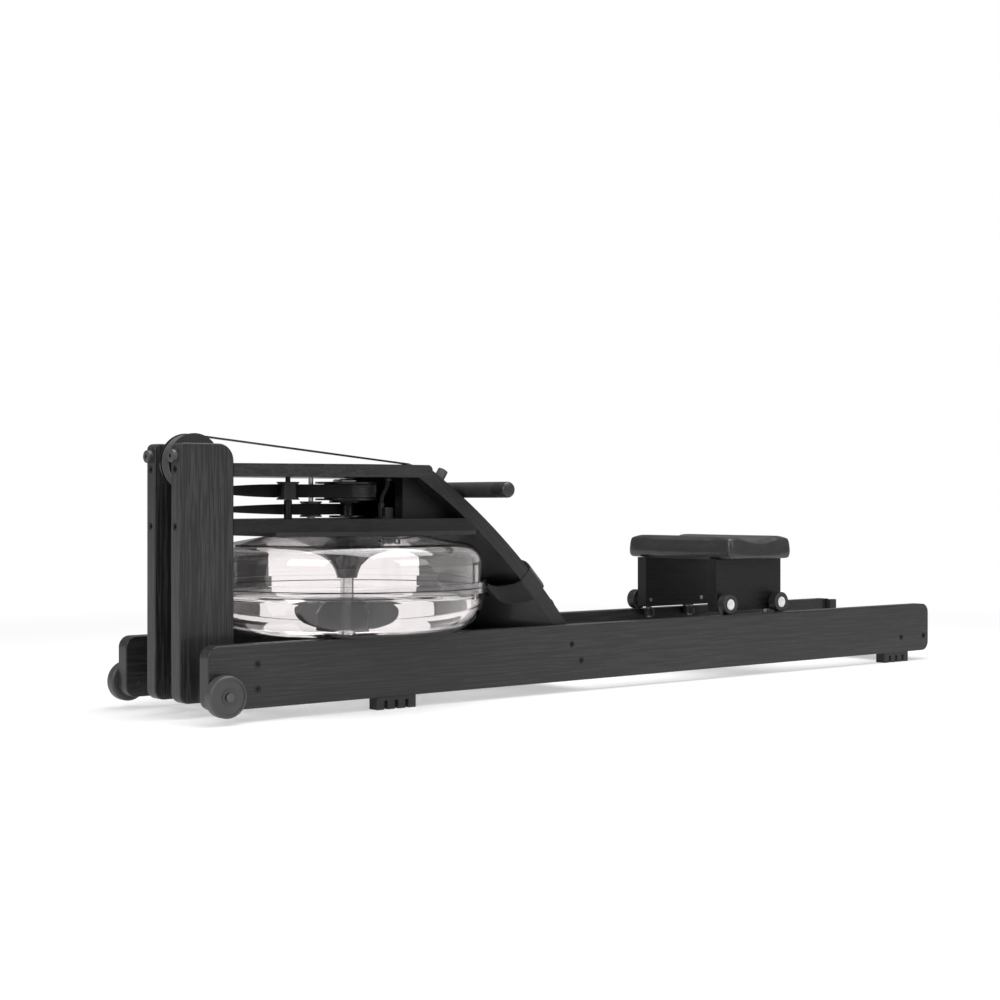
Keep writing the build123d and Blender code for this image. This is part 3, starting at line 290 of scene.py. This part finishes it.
# Every finish of the machine, by the name that its pieces use below
finishes = {
    "rail_wood": black_ash("ash_along"),
    "upright_wood": black_ash("ash_upright", turn=90, contrast=1.25),
    # The footboard's ash is darkened a little, a painted shade: its underside lies in shadow
    "sloped_wood_painted_shade": black_ash("ash_sloped_painted_shade", turn=-45, shade=0.75),
    # The bottom deck's ash is darkened and its coat thinned, a painted shade: it lies under the top deck
    "lower_wood_painted_shade": black_ash("ash_lower_painted_shade", shade=0.4, gloss=0.2),
    # The deck blocks' and seat sides' ash is darkest, with no coat, a painted shade: they lie in shadow
    "painted_shade_wood": black_ash("ash_painted_shade", shade=0.25, gloss=0.0),
    "clear": clear_shell("clear_shell", (0.965, 0.935, 0.935)),
    "smoke": clear_shell("smoked_shell", (0.1, 0.095, 0.1), rough=0.05),
    "water": still_water(),
    "rubber": moulded("black_rubber", grey(0.018), 0.62),
    "grey_rubber": moulded("grey_rubber", grey(0.04), 0.4),
    "plastic": moulded("black_plastic", grey(0.014), 0.42),
    "gloss": moulded("gloss_black", grey(0.011), 0.22, depth=0.00002),
    "tyre": moulded("wheel_tyre", grey(0.014), 0.5),
    "roller": moulded("guide_roller", grey(0.02), 0.4),
    "pale": moulded("pale_hub", (0.62, 0.62, 0.6), 0.42, spread=0.06),
    "wheel_grey": moulded("wheel_grey", grey(0.042), 0.45),
    "idler_grey": moulded("idler_grey", grey(0.09), 0.25, spread=0.12),
    "posts": posts(),
    "ridged": ridged_gloss(),
    "grey_plastic": moulded("grey_plastic", grey(0.045), 0.45),
    "steel": turned_metal("turned_steel", grey(0.42), 0.3),
    "dark_steel": turned_metal("dark_steel", grey(0.13), 0.3),
    "bright": turned_metal("bright_steel", grey(0.72), 0.12, rings=1800.0),
    "blade": turned_metal("dark_blade", grey(0.05), 0.3, rings=700.0),
    "bolt": turned_metal("black_bolt", grey(0.05), 0.42, rings=2200.0, axis="X"),
    "strap": webbing("drive_webbing", grey(0.012)),
    # The wound strap's grey is lighter than the drive strap's: a painted sheen for the gloss on the wound roll
    "tight_strap_painted_sheen": webbing("wound_webbing_painted_sheen", grey(0.035), pitch=900.0, coarse=0.2, rough=0.18),
    "foot_strap": webbing("foot_webbing", grey(0.014), pitch=1000.0),
    "cord": webbing("cord_cover", grey(0.02), pitch=1600.0, coarse=0.7),
    "cover": cushion_cover(),
    "grip": moulded("grip_foam", grey(0.02), 0.6, spread=0.3, grain=1400.0, depth=0.0001),
}

# Which solids wear which finish
wearing = {
    "rail_wood": "left_rail right_rail rear_crossboard top_deck seat_base",
    # The bottom deck, deck blocks, seat sides and footboard wear ash darkened as painted shade
    "lower_wood_painted_shade": "bottom_deck",
    "painted_shade_wood": "deck_blocks seat_sides",
    "upright_wood": "left_upright right_upright front_spacers",
    "sloped_wood_painted_shade": "footboard footboard_cleat",
    "clear": "tank_bottom tank_top",
    "smoke": "splash_cone",
    "rubber": "tank_seal tank_pad rubber_feet fill_plug seat_stops",
    "grey_rubber": "storage_bumpers",
    "plastic": "handle_clevis handle_caps speed_sensor",
    "wheel_grey": "transport_wheel_left transport_wheel_right",
    "idler_grey": "recoil_idler",
    "ridged": "drive_drum",
    "posts": "idler_posts",
    "gloss": "top_pulley recoil_pulley drive_idler",
    "tyre": "seat_wheel_front_left seat_wheel_front_right seat_wheel_rear_left seat_wheel_rear_right",
    "roller": "guide_roller_front_left guide_roller_front_right guide_roller_rear_left guide_roller_rear_right",
    "grey_plastic": "handle_pegs heel_rest_left heel_rest_right",
    "steel": "shaft_bearings seat_axles",
    "dark_steel": "axle_bolts",
    "bright": "paddle_shaft drum_cap",
    "blade": "paddle_blades",
    "bolt": "frame_bolts",
    "grip": "handle_grip",
}
for finish, names in wearing.items():
    for name in names.split():
        slots = nodes[name].data.materials
        slots.clear()
        slots.append(finishes[finish].material)


def grid_mesh(name, points, finish, body, uv=None, close_u=False, close_v=False, caps=False):
    """Mesh of a surface given as an array (rows, columns, 3). Rows may close on themselves, and so may columns;
    caps fills the first and last row with one face each. uv is an array (rows, columns, 2), in metres."""
    rows, columns = points.shape[:2]
    row = np.arange(rows if close_u else rows - 1)
    column = np.arange(columns if close_v else columns - 1)
    r, c = np.meshgrid(row, column, indexing="ij")
    r2, c2 = (r + 1) % rows, (c + 1) % columns
    corners = [r * columns + c, r2 * columns + c, r2 * columns + c2, r * columns + c2]
    faces = np.stack(corners, -1).reshape(-1, 4).tolist()
    if caps:
        faces.append(list(range(columns)))
        faces.append([(rows - 1) * columns + k for k in reversed(range(columns))])
    mesh = bpy.data.meshes.new(name)
    mesh.from_pydata(points.reshape(-1, 3).tolist(), [], faces)
    if uv is not None:
        layer = mesh.uv_layers.new(name="UVMap")
        corner = np.empty(len(mesh.loops), int)
        mesh.loops.foreach_get("vertex_index", corner)
        layer.data.foreach_set("uv", uv.reshape(-1, 2)[corner].astype(np.float32).ravel())
    mesh.polygons.foreach_set("use_smooth", np.full(len(mesh.polygons), True))
    mesh.materials.append(finishes[finish].material)
    mesh.validate()
    piece = bpy.data.objects.new(name, mesh)
    bpy.context.collection.objects.link(piece)
    if body:
        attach(piece, body)
    return piece


def outward(piece):
    """Turns a closed mesh's faces outwards."""
    work = bmesh.new()
    work.from_mesh(piece.data)
    bmesh.ops.recalc_face_normals(work, faces=work.faces)
    work.to_mesh(piece.data)
    work.free()
    return piece


def unit(rows):
    """Rows scaled to a length of one."""
    return rows / np.linalg.norm(rows, axis=-1, keepdims=True)


def circle(count):
    """Angles evenly round a full turn."""
    return np.linspace(0, 2 * np.pi, count, endpoint=False)


def squared(wave, power):
    """A sine or cosine pushed towards its ends: its sign times its size to a power below one."""
    return np.sign(wave) * np.abs(wave) ** power


def strap(name, path, width_way, width, thick, finish, body, closed=False):
    """Flat strap: a rounded rectangle of width by thickness carried along a path. The width direction is given at
    every point and the thickness lies across it and the path. UV: distance along, distance round the section."""
    step = np.roll(path, -1, 0) - np.roll(path, 1, 0) if closed else np.gradient(path, axis=0)
    side = unit(width_way)
    up = unit(np.cross(unit(step), side))
    side = unit(np.cross(up, unit(step)))
    turn = circle(20) + 0.01
    a = squared(np.cos(turn), 0.12) * width / 2
    b = squared(np.sin(turn), 0.5) * thick / 2
    points = path[:, None] + a[None, :, None] * side[:, None] + b[None, :, None] * up[:, None]
    far = np.concatenate([[0], np.cumsum(np.linalg.norm(np.diff(path, axis=0), axis=1))])
    uv = np.stack(np.broadcast_arrays(far[:, None], (a + width / 2)[None, :]), -1)
    piece = grid_mesh(name, points, finish, body, uv, close_u=closed, close_v=True, caps=not closed)
    return outward(piece)


def arc(middle, radius, start, end, count, first, second):
    """Points on a circle in the plane of two axes, from one angle to another."""
    t = np.linspace(start, end, count)[:, None]
    return np.array(middle) + radius * (np.cos(t) * np.array(first) + np.sin(t) * np.array(second))


def line(start, end, count):
    """Points on a straight run, without its last point."""
    t = np.linspace(0, 1, count, endpoint=False)[:, None]
    return np.array(start) * (1 - t) + np.array(end) * t


def belt(start, start_radius, end, end_radius):
    """Where a taut strap leaves one round and meets another, in their plane: a radius is positive on its left."""
    gap = np.array(end) - np.array(start)
    lean = math.atan2(gap[1], gap[0]) - math.asin((start_radius - end_radius) / np.hypot(*gap))
    left = np.array([-math.sin(lean), math.cos(lean)])
    return np.array(start) + start_radius * left, np.array(end) + end_radius * left, lean


X, Y, Z = np.eye(3)
strap_thick, drive_width, recoil_width = 0.002, 0.026, 0.022
strap_gap = 0.0003
lift = strap_gap + strap_thick / 2
pulley, low_pulley = centre("top_pulley"), centre("recoil_pulley")
upper_idler, lower_idler, drum = centre("drive_idler"), centre("recoil_idler"), centre("drive_drum")
handle = centre("handle_grip")
deck_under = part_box("top_deck")[0][2]
# The strap's rest on the footboard, in X and Z, and the distance from each round's axis to the strap's middle
rest = np.array([-0.4764, 0.4660])
pulley_reach, low_reach, idler_reach = 0.051 + lift, 0.022 + lift, 0.020 + lift
winding_reach, spool_reach, rest_reach = 0.060 + lift, 0.014 + lift, 0.010 + lift
saddle_reach = 0.022


def run_to_drum(idler, side, drum_reach):
    """Level path from an idler's touching point at y = 0, round it and straight on to the drum."""
    leave, land, lean = belt(idler[:2], side * idler_reach, drum[:2], -side * drum_reach)
    ahead = side * math.pi / 2
    bend = arc(idler, idler_reach, ahead, ahead + lean, 8, X, Y)
    return np.vstack([bend, line([*leave, idler[2]], [*land, idler[2]], 14)[1:], [[*land, idler[2]]]])


def twisted(lead, count, idler, side, drum_reach):
    """A strap's path and its width directions. Over the lead the width lies along Y, over the straight run to the
    idler it turns evenly to Z, and on the level run to the drum it stays there."""
    twisting = line(lead[-1], np.array([idler[0], 0, idler[2]]), count)[1:]
    to_drum = run_to_drum(idler, side, drum_reach)
    turning = np.pi / 2 * np.linspace(0, 1, len(twisting) + 1)[1:, None]
    ways = np.vstack([np.tile(Y, (len(lead), 1)), np.cos(turning) * Y + np.sin(turning) * Z,
                      np.tile(Z, (len(to_drum), 1))])
    return np.vstack([lead, twisting, to_drum]), ways


# The drive strap: round the front of the top pulley, a quarter twist to its idler, and on to the drum
off, on_rest, slope = belt(pulley[[0, 2]], pulley_reach, rest, rest_reach)
front = arc(pulley, pulley_reach, math.pi / 2 + slope, 1.5 * math.pi, 44, X, Z)
path, ways = twisted(front, 40, upper_idler, 1, winding_reach)
drive = strap("drive_strap_web", path, ways, drive_width, strap_thick, "strap", "frame")
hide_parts("drive_strap")

# The recoil strap: up from the stretch cord, over the low pulley, twisting to its idler and on to the spool
recoil_drop = 0.055
top = low_pulley - low_reach * X
rising = line(top - recoil_drop * Z, top, 8)
over = arc(low_pulley, low_reach, math.pi, math.pi / 2, 20, X, Z)
path, ways = twisted(np.vstack([rising, over]), 44, lower_idler, -1, spool_reach)
recoil = strap("recoil_strap_web", path, ways, recoil_width, strap_thick, "strap", "frame")
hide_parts("recoil_strap")

# The handle's strap: from the pulley over its rest to the saddle
off_rest, on_saddle, fall = belt(rest, rest_reach, handle[[0, 2]], saddle_reach)
lead_on = np.insert(np.vstack([off, on_rest]), 1, 0, axis=1)
bend = arc([rest[0], 0, rest[1]], rest_reach, math.pi / 2 + slope, math.pi / 2 + fall, 10, X, Z)
last = np.insert(np.vstack([off_rest, on_saddle]), 1, 0, axis=1)
path = np.vstack([line(lead_on[0], lead_on[1], 60), bend, line(last[0], last[1], 24)[1:], last[1:]])
ways = np.tile(Y, (len(path), 1))
hand_strap = strap("handle_strap_web", path, ways, drive_width, strap_thick, "strap", None)
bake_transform(hand_strap)
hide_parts("handle_strap")


def wound_roll():
    """Strap wound on the drum: a spiral whose reach grows evenly with the turn, from near the core to the place where
    the strap leaves, drawn as one band of the strap's width."""
    rounds, inner, growth, pressed = 5.5, 0.0475, 0.0119, 0.98
    turns = np.linspace(0, rounds * 2 * np.pi, 760)
    reach = inner + growth * turns / turns[-1]
    leave = math.atan2(-0.05, -0.02)
    angle = leave - turns[-1] + turns
    path = np.stack([drum[0] + reach * np.cos(angle), drum[1] + reach * np.sin(angle),
                     np.full(len(turns), upper_idler[2])], -1)
    ways = np.tile(Z, (len(path), 1))
    # Its finish is the lighter webbing, a painted sheen
    return strap("wound_strap", path, ways, drive_width, strap_thick * pressed, "tight_strap_painted_sheen", "drum")


roll = wound_roll()
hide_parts("strap_winding")


def foot_loop(name, side):
    """Foot strap: a closed loop in the board's cross plane, arched over the foot, round the board's edge and slack
    below it, drawn as four runs of points joined end to end."""
    width, thick, arch, slack = 0.0536, 0.0024, 0.0253, -0.016
    board_middle, board_radius, lean = np.array([-1.3010, 0, -0.7798]), 1.472, math.radians(46.2)
    normal = np.array([math.sin(lean), 0, math.cos(lean)])
    inner, outer, above, under = 0.01500, 0.14005, 0.00196, -0.0348
    middle, half = (inner + outer) / 2, (outer - inner) / 2

    def bow(rise, start, end, count):
        """Arc over the span with this rise, left to right between two shares of its length."""
        radius = (half ** 2 + rise ** 2) / (2 * abs(rise))
        t = np.linspace(start, end, count, endpoint=False) * math.asin(half / radius)
        return np.stack([middle + radius * np.sin(t),
                         math.copysign(1, rise) * (radius * np.cos(t) - radius + abs(rise))], -1)

    def upright(across, start, end, count=14):
        """Straight run square to the board."""
        return np.stack([np.full(count, across), np.linspace(start, end, count, endpoint=False)], -1)

    loop = np.vstack([bow(arch, -1, 1, 56) + [0, above], upright(outer, above, under),
                      bow(slack, 1, -1, 40) + [0, under], upright(inner, under, above)])
    path = board_middle + board_radius * normal + loop[:, :1] * side * Y + loop[:, 1:] * normal
    ways = np.tile([math.cos(lean), 0, -math.sin(lean)], (len(path), 1))
    return strap(name, path, ways, width, thick, "foot_strap", "frame", closed=True)


loops = [foot_loop("foot_strap_left", 1), foot_loop("foot_strap_right", -1)]
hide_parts("foot_straps")


def vertex_places(mesh):
    """Vertex places as an array of rows."""
    places = np.empty(len(mesh.vertices) * 3, np.float32)
    mesh.vertices.foreach_get("co", places)
    return places.reshape(-1, 3).astype(float)


def seat_cushion():
    """Padded seat: the moulded pad remeshed to an even skin and drawn in a little, then blown up as cloth under a
    light pressure with its base held. Movement is capped, so the cover swells between its edges and keeps its form.
    Its foot is drawn down over the base board's edge, by less the higher it lies, and its crown spread a little."""
    drawn_in, most_swell, most_crown, skin_size, pressure, frames = 0.001, 0.005, 0.004, 0.004, 4.0, 20
    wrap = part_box("seat_base")[1][2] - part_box("seat_sides")[1][2] - 0.0003
    scene = bpy.context.scene
    piece = bpy.data.objects.new("seat_cushion", nodes["seat_pad"].data.copy())
    bpy.context.collection.objects.link(piece)
    even = piece.modifiers.new("even_skin", "REMESH")
    even.mode, even.voxel_size = "VOXEL", skin_size
    skin = bpy.data.meshes.new_from_object(piece.evaluated_get(bpy.context.evaluated_depsgraph_get()))
    piece.modifiers.clear()
    piece.data = skin
    low, high = (np.array(p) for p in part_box("seat_pad"))
    middle, half = (low + high) / 2, (high - low) / 2
    middle[2], half[2] = low[2], high[2] - low[2]
    start = middle + (vertex_places(skin) - middle) * (1 - drawn_in / half)
    rise = (start[:, 2:] - low[2]) / half[2]
    crown = np.interp(rise, [0.4, 0.86, 1], [0, 0.003, 0.006])
    start[:, :2] += (start[:, :2] - middle[:2]) * crown / half[:2]
    start[:, 2:] -= wrap * np.clip(1 - rise * 3.5, 0, 1)
    skin.vertices.foreach_set("co", start.astype(np.float32).ravel())
    swollen = start
    held = piece.vertex_groups.new(name="held")
    held.add(np.flatnonzero(start[:, 2] < low[2]).tolist(), 1.0, "REPLACE")
    cloth = piece.modifiers.new("swell", "CLOTH")
    cloth.settings.vertex_group_mass = "held"
    cloth.settings.use_pressure = True
    cloth.settings.uniform_pressure_force = pressure
    cloth.settings.effector_weights.gravity = 0.0
    cloth.collision_settings.use_collision = False
    cloth.point_cache.frame_start, cloth.point_cache.frame_end = 1, frames
    for count in range(1, frames + 1):
        scene.frame_set(count)
    blown = piece.evaluated_get(bpy.context.evaluated_depsgraph_get())
    swollen = vertex_places(blown.data)
    piece.modifiers.clear()
    scene.frame_set(1)
    move = swollen - start
    far = np.linalg.norm(move, axis=1, keepdims=True)
    swollen = start + move * np.minimum(1, most_swell / np.maximum(far, 1e-9))
    swollen[:, 2] = np.clip(swollen[:, 2], low[2] - wrap, high[2] + most_crown)
    skin.vertices.foreach_set("co", swollen.astype(np.float32).ravel())
    skin.materials.clear()
    skin.materials.append(finishes["cover"].material)
    skin.polygons.foreach_set("use_smooth", np.full(len(skin.polygons), True))
    even = piece.modifiers.new("even", "SMOOTH")
    even.factor, even.iterations = 0.5, 6
    fine = piece.modifiers.new("fine", "SUBSURF")
    fine.levels = fine.render_levels = 1
    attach(piece, "seat")
    return piece


pad = seat_cushion()
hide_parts("seat_pad")


def lathe(name, profile, middle, finish, body, count=120):
    """Surface of revolution about Z: each profile point is a radius and a height."""
    turn = circle(count)
    r, z = profile[:, :1], profile[:, 1:]
    points = np.stack(np.broadcast_arrays(middle[0] + r * np.cos(turn), middle[1] + r * np.sin(turn), z), -1)
    return outward(grid_mesh(name, points, finish, body, close_v=True, caps=True))


def water():
    """Water in the tank: the tank's inner curve, a hair inside it, up to a level top."""
    tank_wall, wall, corner, level, hair, bevel, core = 0.004, 0.270, 0.063, 0.2155, 0.0006, 0.001, 0.0005
    floor, rim, bend_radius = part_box("tank_bottom")[0][2] + tank_wall, wall - hair, corner - hair
    t = np.linspace(-np.pi / 2, 0, 24)
    bend = np.stack([wall - corner + bend_radius * np.cos(t), floor + corner + bend_radius * np.sin(t)], -1)
    top = [[rim, level - bevel], [rim - bevel, level], [0.12, level], [core, level]]
    profile = np.vstack([[[core, bend[0, 1]], [0.1, bend[0, 1]]], bend, top])
    return lathe("tank_water", profile, centre("tank_bottom"), "water", "frame")


pool = water()


def stretch_cord():
    """Stretch cord between the strap's clamp and its pin: a straight braided tube, its radius rippled by a sine of
    the angle and the height together. The clamp at its top is a block of squared section with eased edges."""
    clamp_tall, radius, braid = 0.016, 0.005, 0.00015
    low, high = (np.array(p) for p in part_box("recoil_bungee"))
    mid = (low + high) / 2
    rise = np.linspace(low[2], high[2] - clamp_tall, 60)
    turn = circle(24)
    ripple = radius + braid * np.sin(turn[None, :] * 8 + rise[:, None] * 900)
    points = np.stack(np.broadcast_arrays(mid[0] + ripple * np.cos(turn), mid[1] + ripple * np.sin(turn),
                                          rise[:, None]), -1)
    uv = np.stack(np.broadcast_arrays(rise[:, None], turn[None, :] * radius), -1)
    cord = outward(grid_mesh("stretch_cord", points, "cord", "frame", uv, close_v=True, caps=True))
    height = np.array([-clamp_tall, -0.0155, -0.0145, -0.0015, -0.0005, 0]) + high[2]
    inset = np.array([0.0012, 0.0004, 0, 0, 0.0004, 0.0012])[:, None]
    wide, deep = 0.008 - inset, 0.011 - inset
    turn = circle(48)
    points = np.stack(np.broadcast_arrays(mid[0] + wide * squared(np.cos(turn), 0.3),
                                          mid[1] + deep * squared(np.sin(turn), 0.3), height[:, None]), -1)
    clamp = outward(grid_mesh("cord_clamp", points, "plastic", "frame", close_v=True, caps=True))
    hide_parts("recoil_bungee")
    ends = [(mid[0], mid[1], high[2] - clamp_tall), (mid[0], mid[1], low[2])]
    float(ends[0][2] - ends[1][2])


stretch_cord()


def sensor_cable():
    """Sensor lead: a NURBS line drawn by the route's points, from the pickup to the gland under the deck."""
    radius, gland_radius, straight = 0.0035, 0.008, 0.014
    low, high = (np.array(p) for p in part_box("sensor_lead"))
    start = np.array([low[0] + radius, high[1] - radius, low[2]])
    gland = np.array([high[0] - gland_radius, low[1] + gland_radius, deck_under])
    route = [start, start + [0, 0, straight], gland - [0, 0, straight], np.array([*gland[:2], high[2]])]
    curve = bpy.data.curves.new("sensor_lead_line", "CURVE")
    curve.dimensions = "3D"
    curve.bevel_depth = radius
    curve.bevel_resolution = 4
    spline = curve.splines.new("NURBS")
    spline.points.add(len(route) - 1)
    for point, place in zip(spline.points, route):
        point.co = (*place, 1)
    spline.order_u = 3
    spline.use_endpoint_u = True
    spline.resolution_u = 12
    curve.materials.append(finishes["cord"].material)
    lead = bpy.data.objects.new("sensor_lead_line", curve)
    bpy.context.collection.objects.link(lead)
    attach(lead, "frame")
    profile = np.array([[0.0042, -0.006], [0.0078, -0.006], [gland_radius, -0.0055], [gland_radius, -0.001],
                        [0.0075, 0.0]])
    profile[:, 1] += deck_under
    gland_ring = lathe("lead_gland", profile, gland, "plastic", "frame", 40)
    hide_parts("sensor_lead")


sensor_cable()


def wheel_hubs():
    """Pale hub discs set in the seat wheels' outer faces: a shallow dished lathe shape turned to face along Y."""
    dish = np.array([[0.0003, -0.0016], [0.0126, -0.0016], [0.0126, -0.0010], [0.0118, -0.0006],
                     [0.0062, -0.0006], [0.0056, -0.0011], [0.0003, -0.0011]])
    r, out, turn = dish[:, :1], dish[:, 1:], circle(64)
    for end in ("front", "rear"):
        for name, side in (("left", 1), ("right", -1)):
            node = f"seat_wheel_{end}_{name}"
            low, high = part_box(node)
            mid = centre(node)
            face = high[1] if side > 0 else low[1]
            points = np.stack(np.broadcast_arrays(mid[0] + r * np.cos(turn), face + side * out,
                                                  mid[2] + r * np.sin(turn)), -1)
            hub = outward(grid_mesh(f"hub_{end}_{name}", points, "pale", node, close_v=True, caps=True))


wheel_hubs()


def flat_piece(name, corners, paint):
    """One flat four-cornered face."""
    mesh = bpy.data.meshes.new(name)
    mesh.from_pydata([tuple(map(float, corner)) for corner in corners], [], [(0, 1, 2, 3)])
    mesh.materials.append(paint.material)
    piece = bpy.data.objects.new(name, mesh)
    bpy.context.collection.objects.link(piece)
    return piece


def studio():
    """White floor that keeps the object's shadow and fades to plain white away from it, a white surround, two dark
    cards seen only through clear pieces, soft lamps and the photograph's camera."""
    heading, floor_reach = math.radians(39.573), 14
    paint = Paint("studio_floor", Base_Color=(*grey(0.95), 1), Roughness=0.8, Specular_IOR_Level=0.1)
    far = paint.node("ShaderNodeVectorMath", {"operation": "LENGTH"}, {0: paint.place()}, "Value")
    plain = paint.rays("Camera", "Glossy", "Transmission") * (0.5 + far.above(2.2, 0.9) * 0.5)
    lit, glow = Value(paint, paint.shader.outputs[0]), paint.node("ShaderNodeEmission")
    paint.show(paint.node("ShaderNodeMixShader", None, {0: plain, 1: lit, 2: glow}))
    corners = [(x * floor_reach, y * floor_reach, 0) for x, y in ((-1, -1), (1, -1), (1, 1), (-1, 1))]
    floor = flat_piece("studio_floor", corners, paint)

    world = bpy.data.worlds.new("studio")
    bpy.context.scene.world = world
    world.use_nodes = True
    sky = Tree(world.node_tree)
    dim, bright = (sky.node("ShaderNodeBackground", None, {0: (1, 1, 1, 1), 1: power}) for power in (0.3, 1.0))
    sky.show(sky.node("ShaderNodeMixShader", None, {0: sky.rays("Camera", "Transmission"), 1: dim, 2: bright}))

    # The dark cards stand in for the dark bands that the tank's thick walls show: painted shade, seen only through
    # clear pieces
    dark = Paint("painted_shade_card", Base_Color=(*grey(0.02), 1), Roughness=0.9)
    along = np.array([math.cos(heading), -math.sin(heading), 0])
    ahead = np.array([math.sin(heading), math.cos(heading), 0])
    card_middle, card_back, card_low, card_high = np.array([-0.06, 0, 0]), 0.75, 0.02, 0.6
    for name, start, end in (("left_card", -1.10, -0.743), ("right_card", -0.33, 0.10)):
        corners = [card_middle + along * across + ahead * card_back + Z * rise for across, rise in
                   ((start, card_low), (end, card_low), (end, card_high), (start, card_high))]
        card = flat_piece(name, corners, dark)
        card.visible_camera = card.visible_diffuse = card.visible_glossy = card.visible_shadow = False

    for name, place, aim, size, power in (("top_soft", (0.2, -0.4, 3.2), (0.1, 0, 0.2), 3.0, 135),
                                          ("front_soft", (-3.6, -1.2, 1.9), (-0.6, 0, 0.3), 2.0, 70),
                                          ("side_soft", (1.2, -4.2, 2.2), (0.2, 0, 0.2), 2.4, 45)):
        data = bpy.data.lights.new(name, "AREA")
        data.size = size
        data.energy = power
        lamp = bpy.data.objects.new(name, data)
        lamp.location = place
        gap = np.array(aim) - np.array(place)
        tilt, swing = math.acos(-gap[2] / np.linalg.norm(gap)), math.atan2(gap[1], gap[0]) - math.pi / 2
        lamp.rotation_euler = (tilt, 0, swing)
        bpy.context.collection.objects.link(lamp)

    lens = bpy.data.cameras.new("photo_view")
    lens.lens = 63.43
    lens.sensor_width = 36
    lens.clip_end = 100
    camera = bpy.data.objects.new("photo_view", lens)
    camera.location = (-2.6335, -2.9183, 0.4027)
    camera.rotation_euler = (math.pi / 2, 0, -heading)
    bpy.context.collection.objects.link(camera)
    bpy.context.scene.camera = camera
    bpy.context.scene.view_settings.view_transform = "Standard"


studio()
